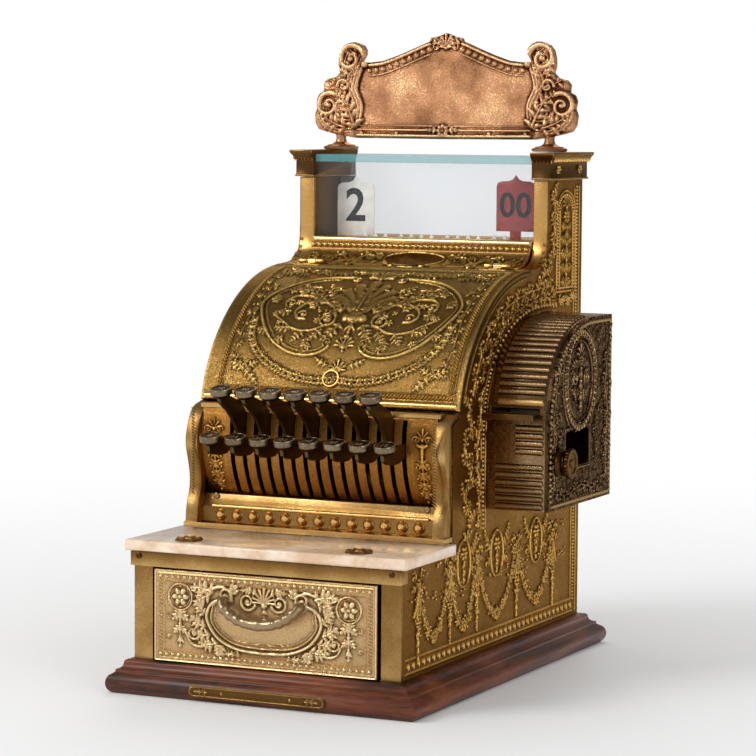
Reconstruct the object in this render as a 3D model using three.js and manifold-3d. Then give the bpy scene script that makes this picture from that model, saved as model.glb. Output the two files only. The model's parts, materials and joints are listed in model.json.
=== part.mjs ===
import * as THREE from "three";
import { mergeVertices } from "three/addons/utils/BufferGeometryUtils.js";
import Module from "manifold-3d";

// A small antique brass cash register on a wooden plinth. Lengths are in millimetres.
// Heights are above the floor. Depths run back from the front face of the drawer posts.

// Cabinet
const cabinetWidth = 234;
const wallThickness = 4;
const seatGap = 0.3;
const overrun = 2;
const weldDistance = 0.0001;

// Plinth and its name plate
const plinthHeight = 26.3;
const plinthSideOverhang = 19.4;
const plinthFrontOverhang = 14.2;
const plinthRearOverhang = 21.7;
const bullnoseCentreShare = 0.28;
const bullnoseReachShare = 0.33;
const bullnoseRootShare = 0.6;
const bullnoseTopShare = 0.6;
const bullnoseSteps = 8;
const ledgeShares = [
  [0.65, 0.625], [0.65, 0.7], [0.5, 0.735], [0.41, 0.79], [0.37, 0.87], [0.36, 0.94], [0.3, 0.985], [0.23, 1],
];
const namePlateWidth = 120;
const namePlateThickness = 1.2;
const namePlateBottom = 3.2;
const namePlateTop = 12.6;

// Drawer surround and marble shelf
const postWidth = 16.7;
const railProud = 3.7;
const railTabDepth = 9;
const railTabThickness = 1.5;
const railHeight = 11.3;
const shelfUnderside = 114.2;
const shelfThickness = 8.9;
const shelfSideOverhang = 6;
const shelfFrontOverhang = 5.7;
const shelfTuck = 9.1;
const shelfEdgeRound = 1.2;

// Drawer
const drawerSidePlay = 2.2;
const drawerTopPlay = 1.2;
const drawerFrontProud = 2;
const drawerFrontThickness = 6;
const trayInset = 4.1;
const trayRearRoom = 67.9;
const trayDrop = 14.5;
const trayWall = 3;
const coinCupDepth = 92;
const coinCups = 4;
const billBays = 2;
const handleHalfSpan = 33;
const handleBelowTop = 21.9;
const handleDrop = 15.5;
const handleReach = 10;
const handleEndRadius = 3;
const handleGripRadius = 4.3;
const handleSteps = 16;
const handleSides = 8;
const handlePadRadius = 6;
const handlePadThickness = 3.5;
const handleRouteShares = [
  [-1, 0.16, 0], [-0.94, 0.62, 0.04], [-0.68, 0.93, 0.46], [-0.34, 1, 0.88], [0, 1, 1],
  [0.34, 1, 0.88], [0.68, 0.93, 0.46], [0.94, 0.62, 0.04], [1, 0.16, 0],
];

// Keyboard frame
const frameFront = 82.6;
const frameDepth = 26.1;
const frameHeight = 101.4;
const frameSideInset = 0.8;
const cheekWidth = 10.6;
const cheekDepth = 14.4;
const cheekSteps = 22;
const cheekFrontShares = [
  [0.01, 0], [0.02, 0.085], [0.09, 0.193], [0.26, 0.302], [0.276, 0.42], [0.15, 0.548], [0, 0.677],
  [0.09, 0.805], [0.32, 0.923], [0.61, 0.978], [1, 1],
];
const cheekRearShares = [[1, 0.965], [0.74, 0.945], [0.552, 0.911]];
const hoodThickness = 3.2;
const hoodDepth = 15.4;
const barRise = 26.6;
const barHeight = 10;
const barSetback = 15.6;
const barSlope = 2.2;
const barThickness = 7.3;
const bossStripSetback = 11.8;
const footLipHeight = 4.3;
const footLipProud = 1.7;

// Slotted key plate
const keyPlateRadius = 80;
const keyPlateFootClearance = 3.71;
const keyPlateBulgeShare = 0.7008;
const keyPlateThickness = 2.2;
const keyPlateTopRoom = 3.6;
const keyPlateRise = 23.6;
const keyPlateSteps = 7;
const slotWidth = 4;
const slotTopMargin = 1.8;
const slotBottomMargin = 4.4;

// Keys
const keyCount = 15;
const keySideRoom = 8.62;
const pivotSetback = 63.4;
const pivotRiseShare = 0.716;
const shaftRadius = 4;
const shaftSides = 12;
const pivotClearance = 0.3;
const leverThickness = 2.8;
const noseShortfall = 7;
const noseRadius = 3;
const noseSteps = 4;
const capSideGap = 4.48;
const capFlare = 2.2;
const capHeight = 6.2;
const capRim = 1.4;
const capSides = 12;
const capTilt = THREE.MathUtils.degToRad(12);
const lowerCapReach = 92.4;
const lowerCapRise = 6.7;
const upperCapReach = 95.8;
const upperCapRise = 45.5;
const hubRadius = 8.2;
const hubSteps = 3;
const hubFrontAngle = THREE.MathUtils.degToRad(112);
const hubRearAngle = Math.asin(noseRadius / hubRadius);
const lowerTopShares = [
  [-0.039, -0.064], [0.08, -0.035], [0.188, -0.023], [0.286, -0.001], [0.426, 0.01], [0.632, 0.041],
];
const lowerUnderShares = [
  [0.502, -0.101], [0.351, -0.123], [0.275, -0.158], [0.156, -0.172], [0.048, -0.166], [-0.039, -0.137],
  [-0.052, -0.095],
];
const upperTopShares = [
  [-0.033, -0.073], [0.071, -0.003], [0.144, -0.002], [0.248, 0.011], [0.353, 0.02], [0.415, -0.003],
  [0.438, -0.048], [0.52, -0.066], [0.676, -0.044],
];
const upperUnderShares = [
  [0.572, -0.266], [0.436, -0.294], [0.353, -0.286], [0.275, -0.247], [0.233, -0.207], [0.181, -0.17],
  [0.092, -0.142], [-0.013, -0.131], [-0.044, -0.104],
];

// Indicator tablets
const tabletSideGap = 8.56;
const tabletHeight = 54;
const shortTabletHeight = 48.5;
const tabletThickness = 1.2;
const tabletShow = 3.4;
const shortTabletRise = 3;
const tabletTravel = 49;
const tabletRows = 4;
const tabletRowPitch = 3;
const tabletSetback = 30.5;
const tabletShoulderShares = [[1, 0.8], [0.93, 0.855], [0.76, 0.885], [0.34, 0.893], [0.14, 0.925], [0, 1]];
const stemWidth = 10;
const footWidth = 7;
const footThickness = 2;
const footReach = 16.5;
const slitClearance = 0.4;

// Window
const glassThickness = 3;
const topGlassThickness = 6.6;
const topGlassRecess = 3.6;
const postReturnWidth = 13.3;
const postSweepDepth = 38;
const postSweepHeight = 33.2;
const postSteps = 8;
const windowDepth = 80;
const windowHeight = 51.5;
const postCurveShares = [[0, 0], [0.748, 0.018], [1, 0.154], [1, 1]];
const sillRise = 22.8;
const sillThickness = 4;
const sillNosing = 2.5;
const sillFootSetback = 4.7;
const sillFootRise = 1.3;
const sillStripShares = [[0.42, 0.07], [0.71, 0.25], [0.84, 0.46], [0.87, 0.73], [1, 0.75]];
const sillUnderShares = [[1.06, 0.81], [0.96, 0.55], [0.82, 0.28], [0.46, -0.1], [0, -0.17]];
const rearWindowInset = 17;
const capitalHeight = 23.2;
const capitalShoulder = 14.4;
const capitalFasciaOverhang = 2.8;
const capitalLipOverhang = 3.6;
const capitalOverhang = 7.3;
const capitalLipHeight = 1.8;
const capitalFasciaHeight = 14.8;
const capitalCrownHeight = 2.2;

// Sign
const signOverhang = 7.5;
const signRise = 10.2;
const signHeight = 92.5;
const signSetback = 45.5;
const signThickness = 5;
const signEndThickness = 9;
const signLean = THREE.MathUtils.degToRad(4.7);
const signLowerShares = [[0, 0], [0.69, 0.004]];
const signEndShares = [
  [0.835, 0.037], [0.912, 0.061], [0.966, 0.083], [0.992, 0.137], [1, 0.229], [0.982, 0.289],
  [0.991, 0.363], [0.974, 0.417], [0.936, 0.445], [0.939, 0.515], [0.913, 0.556], [0.848, 0.577],
  [0.814, 0.626], [0.825, 0.688], [0.822, 0.761], [0.806, 0.836], [0.776, 0.884], [0.733, 0.909],
  [0.687, 0.912], [0.647, 0.886], [0.624, 0.838], [0.628, 0.789], [0.643, 0.758], [0.655, 0.721],
];
const signInnerEndShares = [
  [0.672, 0.64], [0.69, 0.56], [0.745, 0.47], [0.765, 0.36], [0.75, 0.25], [0.7, 0.14],
];
const signUpperShares = [
  [0.586, 0.72], [0.484, 0.736], [0.365, 0.789], [0.249, 0.852], [0.161, 0.902], [0.124, 0.919],
  [0.113, 0.951], [0.066, 0.964], [0.031, 0.982], [0, 1],
];
const signFootInset = 17.7;
const signFootRadius = 15.6;
const signFootHeight = 3.4;
const signFootRound = 1.4;
const signNeckRadius = 4.2;
const signNeckFlare = 3.6;
const signFootSides = 16;

// Lid and its lock
const lidFrontGap = 0.9;
const lidLowerGap = 1.4;
const lidDepth = 144.9;
const lidHeight = 106.6;
const lidThickness = 4;
const lidSteps = 16;
const lidCurveShares = [[0, 0], [0.054, 0.426], [0.419, 0.98], [1, 1]];
const hingeSetback = 1.7;
const hingeRise = 2.6;
const hingeInset = 30.1;
const knuckleRadius = 2.4;
const knuckleLength = 7.6;
const knuckleSides = 10;
const hingePinRadius = 1.1;
const hingeLeafDepth = 8;
const hingeLeafRise = 1.6;
const hingeLeafThickness = 2.4;
const lockShare = 0.15;
const lockRadius = 5.4;
const lockLength = 13;
const lockProud = 1;
const escutcheonRadius = 7.6;
const escutcheonProud = 1.4;
const lockSides = 20;
const keywayWidth = 1.6;
const keywayHeight = 7;
const keywayDepth = 3;
const camLength = 15;
const camWidth = 6;
const camThickness = 2;

// Slip printer on the right side
const printerSetback = 56;
const printerDepth = 140.9;
const printerRise = 19.4;
const printerHeight = 153;
const printerWidth = 53.2;
const printerWall = 3;
const printerDoorThickness = 2.7;
const printerStraightShare = 0.47;
const printerCurveShares = [[0, 0], [0.015, 0.56], [0.41, 0.99], [1, 1]];
const printerTopShare = 0.685;
const printerSteps = 14;
const slipSlotRise = 80.1;
const slipSlotHeight = 3.4;
const slipSlotInset = 2.7;
const slipShelfInset = 8;
const slipShelfReach = 15.1;
const slipShelfThickness = 2.2;
const slipShelfLip = 2.6;
const hatchSetback = 36.4;
const hatchDepth = 52;
const hatchRise = 32.5;
const hatchHeight = 29.5;
const knobSetback = 20.9;
const knobRise = 38.5;
const knobRadius = 11.8;
const knobThickness = 3.2;
const knobBossRadius = 11.5;
const knobBossLength = 9.3;
const knobGap = 0.8;
const knobShaftRadius = 3;
const knobShaftInside = 7;
const knobSides = 24;
const rollSetback = 70.4;
const rollRise = 89.5;
const rollRadius = 27;
const rollCoreRadius = 5;
const rollInset = 4;
const rollSides = 24;

// Works inside the cabinet
const drumSetback = 105.4;
const drumDrop = 47.8;
const drumRadius = 19;
const drumGrooveDepth = 3;
const drumGrooveWidth = 2.5;
const drumWheelWidth = 12;
const drumWheels = 6;
const drumShaftRadius = 4;
const drumSides = 14;
const gongPlace = -52;
const gongHeight = 142;
const gongRadius = 27;
const gongDepth = 15;
const gongWall = 2;
const gongStemRadius = 3.5;
const gongStandOff = 32.2;
const gongSteps = 4;
const gongSides = 16;
const hammerBallRadius = 5;
const hammerBallGap = 0.5;
const hammerDrop = 36;
const hammerLean = 6;
const hammerRodRadius = 1.6;
const hammerHubRadius = 4.5;
const hammerHubLength = 18;
const hammerSides = 10;

// Cast relief, its places as shares of the part of the face that it lies on
const reliefRise = 1.3;
const reliefRoot = 1;
const reliefCrestShare = 0.55;
const reliefBossSides = 8;
const reliefLineWidth = 4.4;
const swagWidth = 6.6;
const swagSteps = 8;
const swagShoulderShare = 0.42;
const swagShoulderRise = 0.19;
const swagTops = [[0.083, 0.838], [0.247, 0.906], [0.392, 0.93], [0.617, 0.906], [0.832, 0.906]];
const swagLows = [[0.164, 0.29], [0.319, 0.29], [0.502, 0.29], [0.73, 0.29]];
const swagBossRadius = 6.4;
const pendantShares = [-0.1, -0.22, -0.37, -0.5, -0.68];
const pendantWidths = [2, 7, 3.4, 5.6, 1.4];
const sideBorderInset = 10.2;
const sideBorderTopGap = 6;
const archGap = 7.5;
const archFoot = 12;
const archSlotGap = 3;
const archSteps = 10;
const panelArchShares = [
  [0.244, -0.28], [0.244, 0.608], [0.32, 0.79], [0.512, 0.868], [0.704, 0.79], [0.781, 0.608], [0.781, -0.28],
];
const panelStemShares = [[0.512, 0.6], [0.512, 0.4], [0.512, 0.2], [0.512, 0], [0.512, -0.2]];
const panelStemWidths = [8, 4, 9, 4, 7];
const sprayStemShares = [[0.18, 0.52], [0.18, 0.4], [0.18, 0.28], [0.18, 0.16], [0.18, 0.04]];
const sprayStemWidths = [3, 8, 4, 7, 2];
const sprayBosses = [[0.18, 0.19], [0.18, 0.485]];
const sprayBossRadius = 5.5;
const sprayLeafReach = 13;
const sprayLeafRise = 9;
const vineShares = [[0.21, 0.092], [0.293, 0.336], [0.472, 0.57], [0.72, 0.72], [1.052, 0.777], [1.286, 0.805]];
const wreathReach = 46;
const wreathWidth = 8;
const wreathSteps = 20;
const wreathStemWidths = [9, 4, 8, 4, 6];

// Cast relief on the lid. Across: shares of half its width from the ornament's middle. Up: shares of its run
const lidReliefMiddle = 3.7;
const lidBorderShares = [0.891, 0.052, 0.884];
const lidBorderSteps = 8;
const lidFrameShares = [
  [0.197, 0.739], [0.359, 0.731], [0.496, 0.703], [0.598, 0.661], [0.692, 0.605], [0.752, 0.548],
  [0.769, 0.501], [0.752, 0.455], [0.684, 0.372], [0.577, 0.289], [0.436, 0.235], [0.308, 0.217],
  [0.205, 0.225], [0.12, 0.269],
];
const lidGarlandShares = [
  [0.12, 0.104], [0.22, 0.106], [0.382, 0.128], [0.597, 0.194], [0.73, 0.293], [0.766, 0.406],
];
const lidGarlandWidth = 7.4;
const lidScrollShares = [
  [
    [0.145, 0.429], [0.205, 0.491], [0.308, 0.522], [0.427, 0.504], [0.479, 0.455], [0.444, 0.413],
    [0.385, 0.408],
  ],
  [[0.188, 0.382], [0.308, 0.344], [0.444, 0.351], [0.547, 0.393], [0.624, 0.424]],
];
const lidScrollWidth = 3;
const lidScrollSteps = 8;
const lidLeafShares = [
  [[0.1, 0.46], [0.16, 0.54], [0.2, 0.63]], [[0.26, 0.52], [0.35, 0.575], [0.43, 0.6]],
  [[0.09, 0.39], [0.14, 0.34], [0.2, 0.3]], [[0.72, 0.14], [0.79, 0.175], [0.83, 0.24]],
  [[0.69, 0.79], [0.76, 0.76], [0.82, 0.7]],
];
const lidLeafWidths = [3, 8, 2];
const lidMiddleLeafShares = [[0, 0.45], [0, 0.56], [0, 0.67]];
const lidMiddleLeafWidths = [4, 10, 2];
const lidClaspShares = [[-0.06, 0.424], [0.06, 0.424]];
const lidClaspWidth = 6.4;
const lidBosses = [[0, 0.745, 9], [0, 0.268, 6]];

// Places worked out from the sizes, first the heights
const halfWidth = cabinetWidth / 2;
const innerHalfWidth = halfWidth - wallThickness;
const floorOfCabinet = plinthHeight + seatGap;
const railUnderside = shelfUnderside - seatGap - railHeight;
const shelfTop = shelfUnderside + shelfThickness;
const frameBottom = shelfTop + seatGap;
const frameTop = frameBottom + frameHeight;
const barTop = frameBottom + barRise;
const keyPlateBottom = frameBottom + keyPlateRise;
const keyPlateTop = frameTop - keyPlateTopRoom;
const keyPlateCentreHeight = keyPlateBottom + keyPlateBulgeShare * (keyPlateTop - keyPlateBottom);
const pivotHeight = frameBottom + pivotRiseShare * frameHeight;
const lidBottom = frameTop + lidLowerGap;
const lidTop = lidBottom + lidHeight;
const hingeHeight = lidTop + hingeRise;
const sillTop = lidTop + sillRise;
const postTop = sillTop + windowHeight;
const capitalBottom = postTop + seatGap;
const capitalTop = capitalBottom + capitalHeight;
const topGlassUnderside = capitalTop - topGlassRecess - topGlassThickness;
const signBottom = capitalTop + signRise;
const drumHeight = lidTop - drumDrop;

// Depths
const frameRear = frameFront + frameDepth;
const shelfRear = frameFront + shelfTuck;
const cheekRear = frameFront + cheekDepth;
const barFront = frameFront + barSetback;
const bossStripFront = frameFront + bossStripSetback;
const barRear = barFront + barThickness;
const keyPlateBulge = Math.sqrt(keyPlateRadius ** 2 - (keyPlateCentreHeight - keyPlateBottom) ** 2);
const keyPlateCentreDepth = barRear + keyPlateFootClearance + keyPlateBulge;
const pivotDepth = frameFront + pivotSetback;
const lidFront = frameRear + lidFrontGap;
const lidRear = lidFront + lidDepth;
const hingeDepth = lidRear + hingeSetback;
const postFront = lidRear + postSweepDepth;
const glassFront = postFront + wallThickness + seatGap;
const tabletRearRow = postFront + tabletSetback;
const signDepth = postFront + signSetback;
const cabinetDepth = postFront + windowDepth;
const rearPlateFront = cabinetDepth - wallThickness;
const sideRear = rearPlateFront - seatGap;
const gongFront = sideRear - gongStandOff;
const drumDepth = lidFront + drumSetback;
const frontPlace = -(cabinetDepth + plinthRearOverhang - plinthFrontOverhang) / 2;

// Widths
const cheekOuter = halfWidth - frameSideInset;
const cheekInner = cheekOuter - cheekWidth;
const postInner = halfWidth - postReturnWidth;
const glassHalfWidth = innerHalfWidth - seatGap;
const capitalInner = halfWidth - capitalShoulder;
const rearWindowHalfWidth = halfWidth - rearWindowInset;
const hingePlace = halfWidth - hingeInset;
const keyPitch = (postInner - keySideRoom + tabletSideGap / 2) * 2 / (keyCount - 1 + tabletRows);
const tabletHalfWidth = (keyPitch * tabletRows - tabletSideGap) / 2;
const capRadius = keyPitch - capSideGap / 2;
const capFootRadius = capRadius - capFlare;

// Slip printer
const printerInner = halfWidth + seatGap;
const printerOuter = printerInner + printerWidth;
const printerDoorInner = printerOuter - printerDoorThickness;
const printerFront = lidFront + printerSetback;
const printerRear = printerFront + printerDepth;
const printerBottom = shelfTop + printerRise;
const printerTop = printerBottom + printerHeight;
const slipSlotBottom = printerBottom + slipSlotRise;
const hatchFront = printerFront + hatchSetback;
const hatchBottom = printerBottom + hatchRise;

const wasm = await Module();
wasm.setup();

// Finishes
const finishes = {
  brass: { color: 0xb08a3c, roughness: 0.38, metalness: 1 },
  paleBrass: { color: 0xb9a172, roughness: 0.42, metalness: 1 },
  darkBrass: { color: 0x7d5f35, roughness: 0.42, metalness: 1 },
  copper: { color: 0xb9794f, roughness: 0.4, metalness: 1 },
  nickel: { color: 0x8b867c, roughness: 0.35, metalness: 1 },
  steel: { color: 0x77726a, roughness: 0.45, metalness: 1 },
  wood: { color: 0x5a2a18, roughness: 0.5, metalness: 0 },
  plainWood: { color: 0xa9805a, roughness: 0.7, metalness: 0 },
  marble: { color: 0xe2cdb8, roughness: 0.25, metalness: 0 },
  glass: { color: 0xcfe9e6, roughness: 0.08, metalness: 0, transparent: true, opacity: 0.35 },
  whiteEnamel: { color: 0xece8dc, roughness: 0.35, metalness: 0 },
  redEnamel: { color: 0x8c3232, roughness: 0.35, metalness: 0 },
  paper: { color: 0xe9e4d6, roughness: 0.9, metalness: 0 },
};

const register = new THREE.Group();
const cabinet = new THREE.Group();
cabinet.position.y = frontPlace;
register.add(cabinet);

function place(name, geometry, finish) {
  const mesh = new THREE.Mesh(geometry, new THREE.MeshStandardMaterial(finishes[finish]));
  mesh.name = name;
  cabinet.add(mesh);
}

// Closed triangle meshes with shared corners, faces pointing out
function closed(geometry) {
  const bare = geometry.index ? geometry.toNonIndexed() : geometry.clone();
  const others = Object.keys(bare.attributes).filter((name) => name !== "position");
  others.forEach((name) => bare.deleteAttribute(name));
  const merged = mergeVertices(bare, weldDistance);
  const corners = merged.index.array;
  const kept = [];
  for (let i = 0; i < corners.length; i += 3) {
    const [a, b, c] = corners.slice(i, i + 3);
    if (a !== b && b !== c && c !== a) kept.push([a, b, c]);
  }
  const [p, q, r] = [new THREE.Vector3(), new THREE.Vector3(), new THREE.Vector3()];
  const position = merged.attributes.position;
  const signedVolume = kept.reduce((sum, [a, b, c]) => {
    p.fromBufferAttribute(position, a);
    q.fromBufferAttribute(position, b);
    r.fromBufferAttribute(position, c);
    return sum + p.dot(q.cross(r));
  }, 0);
  merged.setIndex((signedVolume < 0 ? kept.map(([a, b, c]) => [a, c, b]) : kept).flat());
  return merged;
}

function solidOf(geometry) {
  const mesh = closed(geometry);
  return new wasm.Manifold(new wasm.Mesh({
    numProp: 3,
    vertProperties: new Float32Array(mesh.attributes.position.array),
    triVerts: new Uint32Array(mesh.index.array),
  }));
}

function indexed(corners, faces) {
  const geometry = new THREE.BufferGeometry();
  geometry.setAttribute("position", new THREE.Float32BufferAttribute(corners, 3));
  geometry.setIndex(faces.flat());
  return geometry;
}

function geometryOf(solid) {
  const mesh = solid.getMesh();
  return indexed(Array.from(mesh.vertProperties), [Array.from(mesh.triVerts)]);
}

function joined(...geometries) {
  return geometryOf(geometries.map(solidOf).reduce((whole, next) => whole.add(next)));
}

function cut(geometry, ...tools) {
  return geometryOf(tools.map(solidOf).reduce((whole, next) => whole.subtract(next), solidOf(geometry)));
}

// Flat outlines given thickness along each axis
const axisX = new THREE.Vector3(1, 0, 0);
const axisY = new THREE.Vector3(0, 1, 0);
const axisZ = new THREE.Vector3(0, 0, 1);

function outlineShape(outline, holes = []) {
  const vectors = (points) => points.map(([u, v]) => new THREE.Vector2(u, v));
  const corners = vectors(outline);
  const shape = new THREE.Shape(THREE.ShapeUtils.isClockWise(corners) ? corners.reverse() : corners);
  shape.holes = holes.map((hole) => new THREE.Path(vectors(hole)));
  return shape;
}

function extruded(outline, thickness, holes) {
  return new THREE.ExtrudeGeometry(outlineShape(outline, holes), { depth: thickness, bevelEnabled: false });
}

function acrossX(outline, low, high, holes) {
  const turned = new THREE.Matrix4().makeBasis(axisY, axisZ, axisX);
  return extruded(outline, high - low, holes).applyMatrix4(turned).translate(low, 0, 0);
}

function acrossY(outline, low, high, holes) {
  const turned = new THREE.Matrix4().makeBasis(axisX, axisZ, axisY.clone().negate());
  return extruded(outline, high - low, holes).applyMatrix4(turned).translate(0, high, 0);
}

function acrossZ(outline, low, high, holes) {
  return extruded(outline, high - low, holes).translate(0, 0, low);
}

function block(xLow, xHigh, yLow, yHigh, zLow, zHigh) {
  const geometry = new THREE.BoxGeometry(xHigh - xLow, yHigh - yLow, zHigh - zLow);
  return geometry.translate((xLow + xHigh) / 2, (yLow + yHigh) / 2, (zLow + zHigh) / 2);
}

function rectangle(uLow, uHigh, vLow, vHigh) {
  return [[uLow, vLow], [uHigh, vLow], [uHigh, vHigh], [uLow, vHigh]];
}

// Turned pieces: a profile of radius and height about the Z, X or Y axis
function turned(profile, sides) {
  const lathe = new THREE.LatheGeometry(profile.map(([r, h]) => new THREE.Vector2(r, h)), sides);
  return lathe.rotateX(Math.PI / 2);
}

function turnedX(profile, sides) {
  return turned(profile, sides).rotateY(Math.PI / 2);
}

function turnedY(profile, sides) {
  return turned(profile, sides).rotateX(-Math.PI / 2);
}

function rod(radius, low, high) {
  return [[0, low], [radius, low], [radius, high], [0, high]];
}

// Points along curves
function pairs(points) {
  return points.map((point) => [point.x, point.y]);
}

function between([lowU, lowV], [highU, highV], shares) {
  return shares.map(([u, v]) => [lowU + u * (highU - lowU), lowV + v * (highV - lowV)]);
}

function bezier(controls) {
  return new THREE.CubicBezierCurve(...controls.map(([u, v]) => new THREE.Vector2(u, v)));
}

function smooth(points, steps) {
  return pairs(new THREE.SplineCurve(points.map(([u, v]) => new THREE.Vector2(u, v))).getPoints(steps));
}

function offsetPoints(curve, distance, steps) {
  return Array.from({ length: steps + 1 }, (_, i) => {
    const point = curve.getPoint(i / steps);
    const tangent = curve.getTangent(i / steps);
    return [point.x + tangent.y * distance, point.y - tangent.x * distance];
  });
}

function arcPoints(centreU, centreV, radius, from, to, steps) {
  return Array.from({ length: steps + 1 }, (_, i) => {
    const angle = from + (to - from) * i / steps;
    return [centreU + radius * Math.cos(angle), centreV + radius * Math.sin(angle)];
  });
}

// A closed round bar along a route, with its radius at each share of the way
function swept(route, steps, sides, radiusAt) {
  const frames = route.computeFrenetFrames(steps, false);
  const corners = [];
  for (let i = 0; i <= steps; i += 1) {
    const centre = route.getPointAt(i / steps);
    for (let j = 0; j < sides; j += 1) {
      const angle = 2 * Math.PI * j / sides;
      const across = frames.normals[i].clone().multiplyScalar(Math.cos(angle) * radiusAt(i / steps));
      const along = frames.binormals[i].clone().multiplyScalar(Math.sin(angle) * radiusAt(i / steps));
      corners.push(...centre.clone().add(across).add(along).toArray());
    }
  }
  const faces = [];
  for (let j = 0; j < sides; j += 1) {
    const next = (j + 1) % sides;
    for (let ring = 0; ring < steps * sides; ring += sides) {
      faces.push([ring + j, ring + next, ring + sides + next]);
      faces.push([ring + j, ring + sides + next, ring + sides + j]);
    }
  }
  for (let j = 1; j + 1 < sides; j += 1) {
    const last = steps * sides;
    faces.push([0, j + 1, j], [last, last + j, last + j + 1]);
  }
  return indexed(corners, faces);
}

// A closed solid through rings that have the same number of corners
function lofted(rings) {
  const sides = rings[0].length;
  const last = (rings.length - 1) * sides;
  const faces = [];
  for (let ring = 0; ring < last; ring += sides) {
    for (let j = 0; j < sides; j += 1) {
      const next = (j + 1) % sides;
      faces.push([ring + j, ring + next, ring + sides + next]);
      faces.push([ring + j, ring + sides + next, ring + sides + j]);
    }
  }
  for (let j = 1; j + 1 < sides; j += 1) {
    faces.push([0, j + 1, j], [last, last + j, last + j + 1]);
  }
  return indexed(rings.flat(2), faces);
}

// Cast relief: a raised band along a path on a face, and a raised boss.
// A face turns u, v and a height into a place.
function ribbon(face, path, width) {
  return lofted(path.map(([u, v], i) => {
    const [beforeU, beforeV] = path[Math.max(i - 1, 0)];
    const [afterU, afterV] = path[Math.min(i + 1, path.length - 1)];
    const half = (Array.isArray(width) ? width[i] : width) / 2 / Math.hypot(afterU - beforeU, afterV - beforeV);
    const acrossU = (beforeV - afterV) * half;
    const acrossV = (afterU - beforeU) * half;
    const corner = (share, height) => face(u + acrossU * share, v + acrossV * share, height);
    return [
      corner(-1, -reliefRoot), corner(-reliefCrestShare, reliefRise), corner(reliefCrestShare, reliefRise),
      corner(1, -reliefRoot),
    ];
  }));
}

function boss(face, [u, v], radius) {
  const ring = (reach, height) => arcPoints(u, v, reach, 0, 2 * Math.PI * (1 - 1 / reliefBossSides),
    reliefBossSides - 1).map(([ringU, ringV]) => face(ringU, ringV, height));
  return lofted([ring(radius, -reliefRoot), ring(radius * reliefCrestShare, reliefRise)]);
}

// A stack of rectangles joined into one moulded block
function moulded(rings) {
  const corners = rings.flatMap(({ x: [x0, x1], y: [y0, y1], z }) =>
    [x0, y0, z, x1, y0, z, x1, y1, z, x0, y1, z]);
  const faces = [[0, 2, 1], [0, 3, 2]];
  for (let level = 0; level + 1 < rings.length; level += 1) {
    for (let side = 0; side < 4; side += 1) {
      const here = level * 4 + side;
      const next = level * 4 + (side + 1) % 4;
      faces.push([here, next, next + 4], [here, next + 4, here + 4]);
    }
  }
  const top = (rings.length - 1) * 4;
  faces.push([top, top + 1, top + 2], [top, top + 2, top + 3]);
  return indexed(corners, faces);
}

function bothSides(build) {
  return [-1, 1].map(build);
}

function mirroredX(low, high, side) {
  return side > 0 ? [low, high] : [-high, -low];
}

// Wooden plinth with a bullnose and a stepped ledge
function bullnoseShareAt(height) {
  const rise = (height / plinthHeight - bullnoseCentreShare) / bullnoseReachShare;
  return bullnoseRootShare + (1 - bullnoseRootShare) * Math.sqrt(Math.max(0, 1 - rise * rise));
}

function plinthRing(share, height) {
  const side = halfWidth + share * plinthSideOverhang;
  const front = -share * plinthFrontOverhang;
  const rear = cabinetDepth + share * plinthRearOverhang;
  return { x: [-side, side], y: [front, rear], z: height };
}

function buildPlinth() {
  const bullnoseTop = plinthHeight * bullnoseTopShare;
  const rings = Array.from({ length: bullnoseSteps + 1 }, (_, i) => {
    const height = bullnoseTop * i / bullnoseSteps;
    return plinthRing(bullnoseShareAt(height), height);
  });
  const ledge = ledgeShares.map(([share, level]) => plinthRing(share, level * plinthHeight));
  place("base_plinth", moulded([...rings, ...ledge]), "wood");

  const heights = Array.from({ length: bullnoseSteps + 1 }, (_, i) =>
    namePlateBottom + (namePlateTop - namePlateBottom) * i / bullnoseSteps);
  const face = (proud) => heights.map((z) => [-bullnoseShareAt(z) * plinthFrontOverhang - proud, z]);
  const outline = [...face(seatGap), ...face(seatGap + namePlateThickness).reverse()];
  place("name_plate", acrossX(outline, -namePlateWidth / 2, namePlateWidth / 2), "darkBrass");
}

// Front posts with the rail over the drawer, and the marble shelf
function buildFront() {
  const top = shelfUnderside - seatGap;
  const opening = halfWidth - postWidth;
  const portal = [
    [-halfWidth, floorOfCabinet], [-opening, floorOfCabinet], [-opening, railUnderside],
    [opening, railUnderside], [opening, floorOfCabinet], [halfWidth, floorOfCabinet], [halfWidth, top],
    [-halfWidth, top],
  ];
  const tabReach = halfWidth + railTabThickness;
  const rail = block(-tabReach, tabReach, -railProud, 0, railUnderside, top);
  const tabs = bothSides((side) => {
    const [low, high] = mirroredX(halfWidth + seatGap, tabReach, side);
    return block(low, high, -railProud, railTabDepth, railUnderside, top);
  });
  place("front_frame", joined(acrossY(portal, 0, wallThickness), rail, ...tabs), "brass");

  const shelfHalf = halfWidth + shelfSideOverhang;
  const round = shelfEdgeRound;
  const slab = [
    [-shelfFrontOverhang, shelfUnderside + round], [-shelfFrontOverhang + round, shelfUnderside],
    [shelfRear, shelfUnderside], [shelfRear, shelfTop], [-shelfFrontOverhang + round, shelfTop],
    [-shelfFrontOverhang, shelfTop - round],
  ];
  place("marble_shelf", acrossX(slab, -shelfHalf, shelfHalf), "marble");
}

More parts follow.
